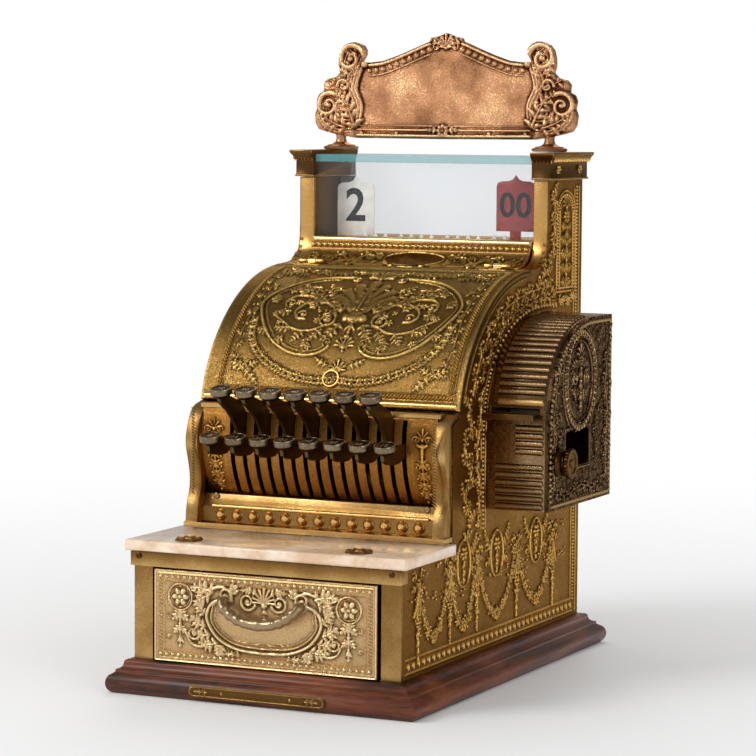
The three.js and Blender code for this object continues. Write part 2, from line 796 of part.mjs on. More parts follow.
// Drawer front, tray and cast handle
function buildDrawer() {
  const half = halfWidth - postWidth - drawerSidePlay;
  const bottom = floorOfCabinet + seatGap;
  const drawerFrontTop = railUnderside - drawerTopPlay;
  const trayFront = drawerFrontThickness - drawerFrontProud + seatGap;
  place("drawer_front",
    block(-half, half, -drawerFrontProud, drawerFrontThickness - drawerFrontProud, bottom, drawerFrontTop),
    "paleBrass");

  const trayHalf = half - trayInset;
  const trayRear = sideRear - trayRearRoom;
  const trayTop = drawerFrontTop - trayDrop;
  const floor = bottom + trayWall;
  const cupRear = trayFront + trayWall + coinCupDepth;
  const bays = (count, from, to) => Array.from({ length: count }, (_, i) => {
    const width = (trayHalf * 2 - trayWall * (count + 1)) / count;
    const low = -trayHalf + trayWall + i * (width + trayWall);
    return block(low, low + width, from, to, floor, trayTop + overrun);
  });
  const tray = block(-trayHalf, trayHalf, trayFront, trayRear, bottom, trayTop);
  const cups = bays(coinCups, trayFront + trayWall, cupRear);
  const bills = bays(billBays, cupRear + trayWall, trayRear - trayWall);
  place("drawer_tray", cut(tray, ...cups, ...bills), "plainWood");

  const face = -drawerFrontProud - seatGap;
  const handleHeight = drawerFrontTop - handleBelowTop;
  const route = new THREE.CatmullRomCurve3(handleRouteShares.map(([x, out, down]) => new THREE.Vector3(
    x * handleHalfSpan, face - out * handleReach, handleHeight - down * handleDrop)));
  const swell = handleGripRadius - handleEndRadius;
  const gripRadius = (t) => handleEndRadius + swell * Math.sin(Math.PI * t) ** 2;
  const grip = swept(route, handleSteps, handleSides, gripRadius);
  const pads = bothSides((side) => turnedY(rod(handlePadRadius, -handlePadThickness, 0), handleSides)
    .translate(side * handleHalfSpan, face, handleHeight));
  place("drawer_handle", joined(grip, ...pads), "nickel");
}

// Curves shared by the lid, the side plates, the window posts and the printer
const lidCurve = bezier(between([lidFront, lidBottom], [lidRear, lidTop], lidCurveShares));
const postFoot = [lidRear + seatGap * 2, lidTop];
const postCurve = bezier(between(postFoot, [postFront, lidTop + postSweepHeight], postCurveShares));
const cheekRearPoints = between([frameFront, frameBottom], [frameRear, frameTop], cheekRearShares);
const printerCurve = bezier(between(
  [printerFront, printerBottom + (printerTop - printerBottom) * printerStraightShare],
  [printerFront + (printerRear - printerFront) * printerTopShare, printerTop], printerCurveShares));

// Festoons low on the side, sprays before the printer, and borders round the printer and beside the window
function sideRelief(face) {
  const lower = (shares) => between([0, floorOfCabinet], [cabinetDepth, shelfUnderside], shares);
  const tops = lower(swagTops);
  const lows = lower(swagLows);
  const lowerHeight = shelfUnderside - floorOfCabinet;
  const swags = lows.map(([lowY, lowZ], i) => {
    const shoulder = ([y]) => [y + (lowY - y) * swagShoulderShare, lowZ + swagShoulderRise * lowerHeight];
    const path = [tops[i], shoulder(tops[i]), [lowY, lowZ], shoulder(tops[i + 1]), tops[i + 1]];
    return ribbon(face, smooth(path, swagSteps), swagWidth);
  });
  const pendants = tops.flatMap(([y, z]) => [
    boss(face, [y, z], swagBossRadius),
    ribbon(face, pendantShares.map((share) => [y, z + share * lowerHeight]), pendantWidths),
  ]);

  const rear = sideRear - sideBorderInset;
  const foot = floorOfCabinet + sideBorderInset;
  const borders = [
    [[wallThickness + sideBorderInset / 2, foot], [rear, foot]],
    [[rear, foot], [rear, postTop - sideBorderTopGap]],
  ].map((path) => ribbon(face, path, reliefLineWidth));

  const archFront = printerFront - archGap;
  const slotUnderside = slipSlotBottom - slipShelfThickness - slipShelfLip - archSlotGap;
  const arch = [
    [[archFront, printerBottom - archFoot], [archFront, slotUnderside]],
    [
      [archFront, slipSlotBottom + slipSlotHeight], ...offsetPoints(printerCurve, -archGap, archSteps).slice(2),
      [printerRear, printerTop + archGap],
    ],
  ].map((path) => ribbon(face, path, reliefLineWidth));

  const beside = (shares) => between([postFront, lidTop], [cabinetDepth, postTop], shares);
  const panelArch = beside(panelArchShares);
  const panel = [
    ribbon(face, panelArch, reliefLineWidth), ribbon(face, [panelArch[0], panelArch.at(-1)], reliefLineWidth),
    ribbon(face, beside(panelStemShares), panelStemWidths),
  ];

  const before = (shares) => between([frameRear, shelfTop], [printerFront, printerTop], shares);
  const sprays = before(sprayBosses).flatMap(([y, z]) => [
    boss(face, [y, z], sprayBossRadius),
    ...bothSides((side) => ribbon(face, [
      [y, z], [y + side * sprayLeafReach / 2, z + sprayLeafRise],
      [y + side * sprayLeafReach, z + sprayLeafRise],
    ], lidLeafWidths)),
  ]);
  const vine = smooth(between([lidFront, lidBottom], [lidRear, lidTop], vineShares), archSteps);
  return [
    ...swags, ...pendants, ...borders, ...arch, ...panel, ...sprays,
    ribbon(face, before(sprayStemShares), sprayStemWidths), ribbon(face, vine, reliefLineWidth),
  ];
}

// The wreath that fills the left side, where there is no printer
function wreath(face) {
  const middle = [(printerFront + printerRear) / 2, (printerBottom + printerTop) / 2];
  const ring = arcPoints(...middle, wreathReach, 0, 2 * Math.PI, wreathSteps);
  const stem = wreathStemWidths.map((_, i) => [
    middle[0], middle[1] + wreathReach * (1 / 2 - i / (wreathStemWidths.length - 1)),
  ]);
  return [ribbon(face, ring, wreathWidth), ribbon(face, stem, wreathStemWidths)];
}

function buildSidePlates() {
  const hoodPoints = cheekRearPoints.map(([y, z]) => [y + seatGap * 2, z - seatGap]).reverse();
  const underLid = offsetPoints(lidCurve, lidThickness + seatGap, lidSteps);
  const [lidFootDepth, lidFootHeight] = underLid[0];
  const postOuter = pairs(postCurve.getPoints(postSteps));
  const outline = [
    [wallThickness + seatGap, floorOfCabinet],
    [wallThickness + seatGap, shelfUnderside - seatGap],
    [shelfRear + seatGap, shelfUnderside - seatGap],
    [shelfRear + seatGap, shelfTop],
    [cheekRear + seatGap, shelfTop],
    ...hoodPoints,
    [frameRear + seatGap * 2, lidFootHeight - seatGap],
    [lidFootDepth, lidFootHeight - seatGap],
    ...underLid,
    [postFoot[0], underLid.at(-1)[1]],
    ...postOuter,
    [postFront, postTop],
    [sideRear, postTop],
    [sideRear, floorOfCabinet],
  ];
  const postBand = [
    ...postOuter,
    [postFront, postTop],
    [postFront + wallThickness, postTop],
    ...offsetPoints(postCurve, wallThickness, postSteps).reverse(),
  ];
  bothSides((side) => {
    const plate = acrossX(outline, ...mirroredX(innerHalfWidth, halfWidth, side));
    const band = acrossX(postBand, ...mirroredX(postInner, halfWidth, side));
    const face = (y, z, height) => [side * (halfWidth + height), y, z];
    const relief = [...sideRelief(face), ...(side < 0 ? wreath(face) : [])];
    place(side < 0 ? "side_plate_left" : "side_plate_right", joined(plate, band, ...relief), "brass");
  });

  const rearPlate = [
    [-halfWidth, floorOfCabinet], [halfWidth, floorOfCabinet], [halfWidth, postTop],
    [rearWindowHalfWidth, postTop], [rearWindowHalfWidth, sillTop], [-rearWindowHalfWidth, sillTop],
    [-rearWindowHalfWidth, postTop], [-halfWidth, postTop],
  ];
  place("back_plate", acrossY(rearPlate, rearPlateFront, cabinetDepth), "brass");
}

// Cast frame round the keyboard and the slotted plate that guides the keys
function buildKeyboardFrame() {
  const frontPoints = between([frameFront, frameBottom], [frameRear, frameTop], cheekFrontShares);
  const front = smooth(frontPoints, cheekSteps);
  const cheek = [...front, ...cheekRearPoints, [cheekRear, frameBottom]];
  const cheeks = bothSides((side) => acrossX(cheek, ...mirroredX(cheekInner, cheekOuter, side)));
  const reach = cheekInner + overrun;
  const bar = [
    [barFront, barTop], [barFront - barSlope, barTop - barHeight], [bossStripFront, barTop - barHeight],
    [bossStripFront, frameBottom], [barRear, frameBottom], [barRear, barTop],
  ];
  const hoodUnderside = frameTop - hoodThickness;
  const hood = block(-reach, reach, frameRear - hoodDepth, frameRear, hoodUnderside, frameTop);
  const lip = block(-halfWidth, halfWidth, frameFront - footLipProud, cheekRear, frameBottom,
    frameBottom + footLipHeight);
  place("keyboard_frame", joined(...cheeks, acrossX(bar, -reach, reach), hood, lip), "brass");
}

function keyX(index) {
  return (index - (keyCount - 1) / 2) * keyPitch;
}

function buildKeyPlate() {
  const angleAt = (z) => Math.PI - Math.asin((z - keyPlateCentreHeight) / keyPlateRadius);
  const arc = (radius) => arcPoints(keyPlateCentreDepth, keyPlateCentreHeight, radius,
    angleAt(keyPlateBottom), angleAt(keyPlateTop), keyPlateSteps);
  const band = [...arc(keyPlateRadius), ...arc(keyPlateRadius - keyPlateThickness).reverse()];
  const half = cheekInner - seatGap;
  const slots = Array.from({ length: keyCount }, (_, i) => block(
    keyX(i) - slotWidth / 2, keyX(i) + slotWidth / 2, frameFront, frameRear + overrun,
    keyPlateBottom + slotBottomMargin, keyPlateTop - slotTopMargin));
  place("key_plate", cut(acrossX(band, -half, half), ...slots), "brass");
  const shaftHalf = innerHalfWidth - seatGap;
  const shaft = turnedX(rod(shaftRadius, -shaftHalf, shaftHalf), shaftSides);
  place("key_shaft", shaft.translate(0, pivotDepth, pivotHeight), "steel");
}

// Key levers with their round caps, pivoting on the shaft
function leverEdges(upper, reach, rise) {
  const placed = (shares) => shares.map(([u, v]) => [
    pivotDepth - (1 - u) * reach, pivotHeight + (1 - u) * rise + v * reach,
  ]);
  return {
    top: placed(upper ? upperTopShares : lowerTopShares),
    under: placed(upper ? upperUnderShares : lowerUnderShares),
  };
}

function buildKey(index) {
  const name = `key_${String(index + 1).padStart(2, "0")}`;
  const upper = index % 2 === 1;
  const reach = upper ? upperCapReach : lowerCapReach;
  const rise = upper ? upperCapRise : lowerCapRise;
  const { top, under } = leverEdges(upper, reach, rise);
  const nose = arcPoints(tabletRearRow - noseShortfall, pivotHeight, noseRadius, Math.PI / 2, -Math.PI / 2,
    noseSteps);
  const hubArc = (from, to) => arcPoints(pivotDepth, pivotHeight, hubRadius, from, to, hubSteps);
  const hubTop = hubArc(hubFrontAngle, hubRearAngle);
  const hubUnder = hubArc(-hubRearAngle, -hubFrontAngle);
  const outline = [...top, ...hubTop, ...nose, ...hubUnder, ...under];
  const bore = arcPoints(pivotDepth, pivotHeight, shaftRadius + pivotClearance, 0,
    2 * Math.PI * (1 - 1 / shaftSides), shaftSides - 1);
  const lever = acrossX(outline, -leverThickness / 2, leverThickness / 2, [bore]);
  const cap = turned([
    [0, -capHeight], [capFootRadius, -capHeight], [capRadius, -capRim], [capRadius, 0], [0, 0],
  ], capSides).rotateX(capTilt);
  cap.translate(0, pivotDepth - reach, pivotHeight + rise);
  place(name, joined(lever, cap).translate(keyX(index), 0, 0), "nickel");
}

// Indicator tablets on stems that stand over the rear ends of the levers
function tabletRowDepth(index) {
  return tabletRearRow - (index % tabletRows) * tabletRowPitch;
}

function buildTablet(index) {
  const name = `tablet_${String(index + 1).padStart(2, "0")}`;
  const last = index === keyCount - 1;
  const raised = index === 0 || last;
  const lift = raised ? tabletTravel : 0;
  const height = last ? shortTabletHeight : tabletHeight;
  const top = sillTop + tabletShow + lift + (last ? shortTabletRise : 0);
  const bottom = top - height;
  const footBottom = pivotHeight + noseRadius + seatGap + lift;
  const shoulder = tabletShoulderShares.map(([u, v]) => [u * tabletHalfWidth, bottom + v * height]);
  const mirrored = shoulder.slice(0, -1).reverse().map(([x, z]) => [-x, z]);
  const outline = [
    [stemWidth / 2, footBottom], [stemWidth / 2, bottom], [tabletHalfWidth, bottom], ...shoulder, ...mirrored,
    [-tabletHalfWidth, bottom], [-stemWidth / 2, bottom], [-stemWidth / 2, footBottom],
  ];
  const row = tabletRowDepth(index);
  const plate = acrossY(outline, row - tabletThickness / 2, row + tabletThickness / 2);
  const foot = block(-footWidth / 2, footWidth / 2, tabletRearRow - footReach, row + tabletThickness,
    footBottom, footBottom + footThickness);
  place(name, joined(plate, foot).translate(keyX(index), 0, 0), last ? "redEnamel" : "whiteEnamel");
}

// Window sill with a slit for each tablet, and the fixed halves of the lid hinges
function hingeKnuckle(centreX, radius, length) {
  const knuckle = turnedX(rod(radius, -length / 2, length / 2), knuckleSides);
  return knuckle.translate(centreX, hingeDepth, hingeHeight);
}

function buildSill() {
  const half = postInner - seatGap;
  const stripLow = [lidRear + sillFootSetback, lidTop + sillFootRise];
  const stripHigh = [postFront - sillNosing, sillTop];
  const outline = [
    stripLow,
    ...between(stripLow, stripHigh, sillStripShares),
    stripHigh,
    [sideRear - seatGap, sillTop],
    [sideRear - seatGap, sillTop - sillThickness],
    [postFront - sillNosing + wallThickness, sillTop - sillThickness],
    ...between(stripLow, stripHigh, sillUnderShares),
  ];
  const slits = Array.from({ length: keyCount }, (_, i) => {
    const reach = tabletHalfWidth + slitClearance;
    const row = tabletRowDepth(i);
    const play = tabletThickness / 2 + slitClearance;
    return block(keyX(i) - reach, keyX(i) + reach, row - play, row + play,
      sillTop - sillThickness - overrun, sillTop + overrun);
  });
  const pitch = knuckleLength + seatGap;
  const hinges = bothSides((side) => [
    hingeKnuckle(side * hingePlace, hingePinRadius, knuckleLength + pitch * 2),
    ...bothSides((end) => hingeKnuckle(side * hingePlace + end * pitch, knuckleRadius, knuckleLength)),
    ...bothSides((end) => {
      const centre = side * hingePlace + end * pitch;
      return block(centre - knuckleLength / 2, centre + knuckleLength / 2,
        hingeDepth, hingeDepth + hingeLeafDepth,
        hingeHeight - hingeLeafThickness, hingeHeight);
    }),
  ]).flat();
  place("window_sill", joined(cut(acrossX(outline, -half, half), ...slits), ...hinges), "brass");
}

// Window glass, capitals and the sign that stands on them
function buildWindow() {
  const shoulder = capitalInner - seatGap;
  const paneTop = topGlassUnderside - seatGap;
  const paneOutline = (outer, foot) => [
    [-outer, foot], [outer, foot], [outer, postTop], [shoulder, postTop], [shoulder, paneTop],
    [-shoulder, paneTop], [-shoulder, postTop], [-outer, postTop],
  ];
  const foot = sillTop + seatGap;
  const pane = (front) => acrossY(paneOutline(glassHalfWidth, foot), front, front + glassThickness);
  place("window_glass_front", pane(glassFront), "glass");
  place("window_glass_back", pane(rearPlateFront - seatGap - glassThickness), "glass");
  place("window_glass_top", block(-shoulder, shoulder, postFront, cabinetDepth, topGlassUnderside,
    topGlassUnderside + topGlassThickness), "glass");
}

function buildCapitals() {
  const levels = [
    [capitalBottom, capitalLipOverhang],
    [capitalBottom + capitalLipHeight, capitalLipOverhang],
    [capitalBottom + capitalLipHeight, capitalFasciaOverhang],
    [capitalBottom + capitalFasciaHeight, capitalFasciaOverhang],
    [capitalTop - capitalCrownHeight, capitalOverhang],
    [capitalTop, capitalOverhang],
  ];
  bothSides((side) => {
    const rings = levels.map(([z, overhang]) => ({
      x: mirroredX(capitalInner, halfWidth + overhang, side),
      y: [postFront - overhang, cabinetDepth + overhang],
      z,
    }));
    place(side < 0 ? "capital_left" : "capital_right", moulded(rings), "brass");
  });
}

function buildSign() {
  const low = [0, signBottom];
  const high = [halfWidth + signOverhang, signBottom + signHeight];
  const half = between(low, high, [...signLowerShares, ...signEndShares, ...signUpperShares]);
  const otherHalf = half.slice(1, -1).reverse().map(([x, z]) => [-x, z]);
  const leaning = (outline, thickness) => acrossY(outline, -thickness / 2, thickness / 2)
    .translate(0, 0, -signBottom).rotateX(-signLean).translate(0, signDepth, signBottom);
  const board = leaning([...half, ...otherHalf], signThickness);
  const endOutline = between(low, high, [signLowerShares.at(-1), ...signEndShares, ...signInnerEndShares]);
  const ends = bothSides((side) => leaning(endOutline.map(([x, z]) => [side * x, z]), signEndThickness));
  const footBottom = capitalTop + seatGap;
  const footTop = footBottom + signFootHeight;
  const feet = bothSides((side) => turned([
    [0, footBottom], [signFootRadius - signFootRound, footBottom],
    [signFootRadius, footBottom + signFootHeight / 2],
    [signFootRadius - signFootRound, footTop], [signNeckRadius, footTop + signNeckFlare],
    [signNeckRadius, signBottom + signFootHeight], [0, signBottom + signFootHeight],
  ], signFootSides).translate(side * (halfWidth - signFootInset), signDepth, 0));
  place("sign_board", joined(board, ...ends, ...feet), "copper");
}

// Border, oval frame, garland and scrolls raised on the lid
function lidRelief() {
  const run = lidCurve.getLength();
  const face = (x, along, height) => {
    const point = lidCurve.getPointAt(along / run);
    const tangent = lidCurve.getTangentAt(along / run);
    return [x, point.x - tangent.y * height, point.y + tangent.x * height];
  };
  const at = (side) => (shares) => shares.map(([u, v]) => [lidReliefMiddle + side * u * halfWidth, v * run]);
  const [borderSide, borderLow, borderHigh] = lidBorderShares;
  const upright = Array.from({ length: lidBorderSteps + 1 }, (_, i) =>
    [borderSide, borderLow + (borderHigh - borderLow) * i / lidBorderSteps]);
  const halves = bothSides((side) => {
    const placed = at(side);
    return [
      ribbon(face, placed(upright), reliefLineWidth),
      ribbon(face, placed(lidFrameShares), reliefLineWidth),
      ribbon(face, placed(lidGarlandShares), lidGarlandWidth),
      ...lidScrollShares.map((shares) => ribbon(face, smooth(placed(shares), lidScrollSteps), lidScrollWidth)),
      ...lidLeafShares.map((shares) => ribbon(face, placed(shares), lidLeafWidths)),
    ];
  });
  const whole = at(1);
  return [
    ...halves.flat(),
    ...[borderLow, borderHigh].map((level) =>
      ribbon(face, whole([[-borderSide, level], [borderSide, level]]), reliefLineWidth)),
    ribbon(face, whole(lidMiddleLeafShares), lidMiddleLeafWidths),
    ribbon(face, whole(lidClaspShares), lidClaspWidth),
    ...lidBosses.map(([u, v, radius]) => boss(face, whole([[u, v]])[0], radius)),
  ];
}

// Curved lid with its hinge knuckles, escutcheon and lock
function buildLid() {
  const band = [
    ...pairs(lidCurve.getPoints(lidSteps)),
    ...offsetPoints(lidCurve, lidThickness, lidSteps).reverse(),
  ];
  const shell = acrossX(band, -halfWidth, halfWidth);
  const leaves = bothSides((side) => {
    const centre = side * hingePlace;
    return block(centre - knuckleLength / 2, centre + knuckleLength / 2,
      hingeDepth - hingeLeafDepth, hingeDepth,
      hingeHeight - hingeLeafThickness - hingeLeafRise, hingeHeight - seatGap);
  });
  const knuckles = bothSides((side) => hingeKnuckle(side * hingePlace, knuckleRadius, knuckleLength));
  const boreRadius = hingePinRadius + pivotClearance;
  const bores = bothSides((side) => hingeKnuckle(side * hingePlace, boreRadius, knuckleLength + overrun));

  const lockPoint = lidCurve.getPoint(lockShare);
  const tangent = lidCurve.getTangent(lockShare);
  const tilt = Math.atan2(tangent.x, tangent.y);
  const seated = (geometry) => geometry.rotateX(Math.PI / 2 - tilt).translate(0, lockPoint.x, lockPoint.y);
  const ring = seated(turned(rod(escutcheonRadius, -lidThickness / 2, escutcheonProud), lockSides));
  const drill = rod(lockRadius + seatGap, -lidThickness * 2, escutcheonProud + overrun);
  const hole = seated(turned(drill, lockSides));
  place("lid", cut(joined(shell, ...lidRelief(), ring, ...leaves, ...knuckles), hole, ...bores), "brass");

  const barrel = turned(rod(lockRadius, lockProud - lockLength, lockProud), lockSides);
  const keyway = block(-keywayWidth / 2, keywayWidth / 2, -keywayHeight / 2, keywayHeight / 2,
    lockProud - keywayDepth, lockProud + overrun);
  const camTop = lockProud - lockLength + seatGap;
  const cam = block(-camWidth / 2, camWidth / 2, -camLength, lockRadius / 2,
    camTop - seatGap - camThickness, camTop);
  place("lid_lock", seated(joined(cut(barrel, keyway), cam)), "steel");
}

// Slip printer: shell, outer door with its knob, slip shelf and paper roll
function printerOutline(inset) {
  return [
    [printerFront + inset, printerBottom + inset],
    ...offsetPoints(printerCurve, inset, printerSteps),
    [printerRear - inset, printerTop - inset],
    [printerRear - inset, printerBottom + inset],
  ];
}

function buildPrinter() {
  const shell = acrossX(printerOutline(0), printerInner, printerDoorInner - seatGap,
    [printerOutline(printerWall)]);
  const slipShelfOuter = printerOuter - slipShelfInset;
  const slot = block(printerInner + slipSlotInset, slipShelfOuter, printerFront - overrun,
    printerFront + printerWall + overrun * 2, slipSlotBottom, slipSlotBottom + slipSlotHeight);
  place("printer_case", cut(shell, slot), "darkBrass");

  const panel = acrossX(printerOutline(0), printerDoorInner, printerOuter, [
    rectangle(hatchFront, hatchFront + hatchDepth, hatchBottom, hatchBottom + hatchHeight),
  ]);
  const atKnob = (profile) => turnedX(profile, knobSides)
    .translate(0, printerFront + knobSetback, printerBottom + knobRise);
  const bossEnd = printerOuter + knobBossLength;
  const boss = atKnob(rod(knobBossRadius, printerOuter - seatGap, bossEnd));
  const bore = atKnob(rod(knobShaftRadius + pivotClearance, printerDoorInner - overrun, bossEnd + overrun));
  place("printer_door", cut(joined(panel, boss), bore), "darkBrass");

  const knobInner = bossEnd + knobGap;
  const knob = atKnob([
    [0, printerDoorInner - knobShaftInside], [knobShaftRadius, printerDoorInner - knobShaftInside],
    [knobShaftRadius, knobInner], [knobRadius, knobInner], [knobRadius, knobInner + knobThickness],
    [0, knobInner + knobThickness],
  ]);
  place("printer_knob", knob, "darkBrass");

  const shelfTopPlace = slipSlotBottom - seatGap;
  const shelfRearPlace = printerFront - seatGap;
  const slipShelfFront = printerFront - slipShelfReach;
  const shelf = [
    [shelfRearPlace, shelfTopPlace], [slipShelfFront, shelfTopPlace],
    [slipShelfFront, shelfTopPlace - slipShelfThickness - slipShelfLip],
    [slipShelfFront + slipShelfThickness, shelfTopPlace - slipShelfThickness - slipShelfLip],
    [slipShelfFront + slipShelfThickness, shelfTopPlace - slipShelfThickness],
    [shelfRearPlace, shelfTopPlace - slipShelfThickness],
  ];
  place("slip_shelf", acrossX(shelf, printerInner, slipShelfOuter), "steel");

  const rollLow = printerInner + rollInset;
  const rollHigh = printerDoorInner - rollInset - seatGap;
  const roll = turnedX([
    [0, printerInner], [rollCoreRadius, printerInner], [rollCoreRadius, rollLow], [rollRadius, rollLow],
    [rollRadius, rollHigh], [rollCoreRadius, rollHigh], [rollCoreRadius, printerDoorInner - seatGap],
    [0, printerDoorInner - seatGap],
  ], rollSides);
  place("paper_roll", roll.translate(0, printerFront + rollSetback, printerBottom + rollRise), "paper");
}

// Counter wheels under the lid, and the bell with its hammer
function buildWorks() {
  const half = innerHalfWidth - seatGap;
  const pitch = drumWheelWidth + drumGrooveWidth;
  const start = -(drumWheels * pitch - drumGrooveWidth) / 2;
  const wheels = Array.from({ length: drumWheels }, (_, i) => {
    const low = start + i * pitch;
    const high = low + drumWheelWidth;
    const groove = drumRadius - drumGrooveDepth;
    const next = i + 1 < drumWheels ? [[groove, high], [groove, high + drumGrooveWidth]] : [];
    return [[drumRadius, low], [drumRadius, high], ...next];
  }).flat();
  const drum = turnedX([
    [0, -half], [drumShaftRadius, -half], [drumShaftRadius, start], ...wheels, [drumShaftRadius, -start],
    [drumShaftRadius, half], [0, half],
  ], drumSides);
  place("counter_drum", drum.translate(0, drumDepth, drumHeight), "nickel");

  const dome = (radius, depth) => arcPoints(0, 0, 1, 0, Math.PI / 2, gongSteps)
    .map(([u, v]) => [u * radius, v * depth]);
  const stemEnd = sideRear - gongFront;
  const inner = dome(gongRadius - gongWall, gongDepth - gongWall).filter(([r]) => r > gongStemRadius);
  const stemTop = inner.at(-1)[1];
  const profile = [
    [0, -gongDepth], ...dome(gongRadius, gongDepth).map(([r, h]) => [r, -h]).reverse().slice(1),
    ...inner.map(([r, h]) => [r, -h]), [gongStemRadius, -stemTop], [gongStemRadius, stemEnd], [0, stemEnd],
  ];
  place("bell_gong", turnedY(profile, gongSides).translate(gongPlace, gongFront, gongHeight), "nickel");

  const ballX = gongPlace + gongRadius + hammerBallGap + hammerBallRadius;
  const hubX = ballX + hammerLean;
  const hubZ = gongHeight - hammerDrop;
  const ball = new THREE.SphereGeometry(hammerBallRadius, hammerSides, hammerSides / 2)
    .translate(ballX, gongFront, gongHeight);
  const length = Math.hypot(hammerLean, hammerDrop);
  const hubRear = sideRear;
  const arm = turned(rod(hammerRodRadius, 0, length), hammerSides)
    .rotateY(-Math.atan2(hammerLean, hammerDrop)).translate(hubX, gongFront, hubZ);
  const hub = turnedY(rod(hammerHubRadius, gongFront - hammerHubLength / 4, hubRear), hammerSides)
    .translate(hubX, 0, hubZ);
  place("bell_hammer", joined(hub, arm, ball), "steel");
}

buildPlinth();
buildFront();
buildDrawer();
buildSidePlates();
buildKeyboardFrame();
buildKeyPlate();
for (let index = 0; index < keyCount; index += 1) {
  buildKey(index);
  buildTablet(index);
}
buildSill();
buildWindow();
buildCapitals();
buildSign();
buildLid();
buildPrinter();
buildWorks();

export default register;
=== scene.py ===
"""Dresses a small antique brass cash register: cast ornament, glass, marble, enamel and wood."""
import contextlib
import json
import math

import bmesh
import bpy
import numpy as np
from mathutils import Matrix, Vector


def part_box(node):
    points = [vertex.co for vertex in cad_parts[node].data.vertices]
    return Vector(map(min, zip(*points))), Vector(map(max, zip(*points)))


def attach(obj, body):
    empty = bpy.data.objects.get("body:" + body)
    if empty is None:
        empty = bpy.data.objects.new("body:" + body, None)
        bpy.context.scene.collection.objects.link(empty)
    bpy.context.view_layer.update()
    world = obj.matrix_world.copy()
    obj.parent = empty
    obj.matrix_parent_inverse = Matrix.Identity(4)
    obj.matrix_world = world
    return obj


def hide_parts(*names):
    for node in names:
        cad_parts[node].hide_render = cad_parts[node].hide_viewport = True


bl_info = {
    "name": "Antique Cash Register",
    "version": (1, 0, 0),
    "blender": (4, 5, 0),
    "location": "3D View > Sidebar > Register",
    "description": "Dresses the brass cash register with cast ornament, glass, marble, enamel and wood",
    "category": "Object",
}

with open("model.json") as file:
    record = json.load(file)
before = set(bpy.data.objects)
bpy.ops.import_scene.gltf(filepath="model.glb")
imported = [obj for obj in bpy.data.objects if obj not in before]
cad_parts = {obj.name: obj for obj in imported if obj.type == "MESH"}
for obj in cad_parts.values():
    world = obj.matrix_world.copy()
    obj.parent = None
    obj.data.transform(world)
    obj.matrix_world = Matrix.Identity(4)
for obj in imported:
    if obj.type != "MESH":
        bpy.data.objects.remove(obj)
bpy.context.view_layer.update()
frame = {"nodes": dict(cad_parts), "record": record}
NODES = frame["nodes"]
BODY_OF = {node: body for body, nodes in frame["record"]["behaviour"]["bodies"].items() for node in nodes}

# Lengths below are millimetres: x from the middle, y back from the front of the posts, z from the floor.
MM = 0.001
RAIL_PROUD = 3.7
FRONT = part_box("front_frame")[0].y / MM + RAIL_PROUD
TAU = 2 * math.pi

# Places of the imported pieces: the side face is read from the lid, the others are given
SIDE_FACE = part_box("lid")[1].x / MM
LID_FRONT, LID_REAR = 109.6, 254.5
LID_BOTTOM, LID_TOP = 226.2, 332.8
WALL = 4.0
SEAT = 0.3
SURROUND_TOP_RAIL = 104


def place_of(node):
    """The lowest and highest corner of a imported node, in millimetres of the cabinet's own places."""
    low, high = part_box(node)
    shift = np.array([0, FRONT, 0])
    return np.array(low) / MM - shift, np.array(high) / MM - shift


def metres(points):
    return (np.asarray(points, float) + [0, FRONT, 0]) * MM


# ---------------------------------------------------------------- curves and outlines

def bezier(corner, reach, shares, steps):
    """A cubic curve whose four controls are given as shares of the step from corner to reach."""
    corner, reach = np.array(corner, float), np.array(reach, float)
    p = [corner + np.array(s) * (reach - corner) for s in shares]
    t = np.linspace(0, 1, steps + 1)[:, None]
    s = 1 - t
    return s**3 * p[0] + 3 * s**2 * t * p[1] + 3 * s * t**2 * p[2] + t**3 * p[3]


def spline(points, per=10):
    """A smooth path through the points."""
    p = np.array(points, float)
    p = np.vstack([2 * p[0] - p[1], p, 2 * p[-1] - p[-2]])
    t = np.linspace(0, 1, per, endpoint=False)[:, None]
    pieces = [0.5 * (2 * b + (c - a) * t + (2 * a - 5 * b + 4 * c - d) * t**2 + (3 * b - a - 3 * c + d) * t**3)
              for a, b, c, d in zip(p[:-3], p[1:-2], p[2:-1], p[3:])]
    return np.vstack(pieces + [p[-2:-1]])


def arc(centre, radii, start, turn, steps=24):
    """Points on an ellipse, angles in degrees."""
    a = np.radians(np.linspace(start, start + turn, steps + 1))
    return np.stack([centre[0] + radii[0] * np.cos(a), centre[1] + radii[1] * np.sin(a)], 1)


def lengths(path):
    return np.concatenate([[0], np.cumsum(np.linalg.norm(np.diff(path, axis=0), axis=1))])


def walked(path, run, at):
    """The places at some lengths along a path."""
    return np.stack([np.interp(at, run, column) for column in path.T], 1)


def spaced(path, pitch):
    """Points at an even pitch along a path, with the direction at each."""
    path = np.asarray(path, float)
    run = lengths(path)
    at = np.linspace(0, run[-1], max(1, round(run[-1] / pitch)) + 1)
    return walked(path, run, at), walked(path, run, at + 0.05) - walked(path, run, at - 0.05)


def offset(path, distance):
    """The path moved sideways, to its right."""
    path = np.asarray(path, float)
    d = np.gradient(path, axis=0)
    d /= np.maximum(np.linalg.norm(d, axis=1), 1e-9)[:, None]
    return path + np.stack([d[:, 1], -d[:, 0]], 1) * distance


def inside(outline, u, v):
    """Even-odd test of many points against one closed outline."""
    hit = np.zeros(np.shape(u), bool)
    for (u0, v0), (u1, v1) in zip(outline, np.roll(outline, -1, axis=0)):
        if v0 != v1:
            hit ^= ((v0 > v) != (v1 > v)) & (u < (u1 - u0) * (v - v0) / (v1 - v0) + u0)
    return hit


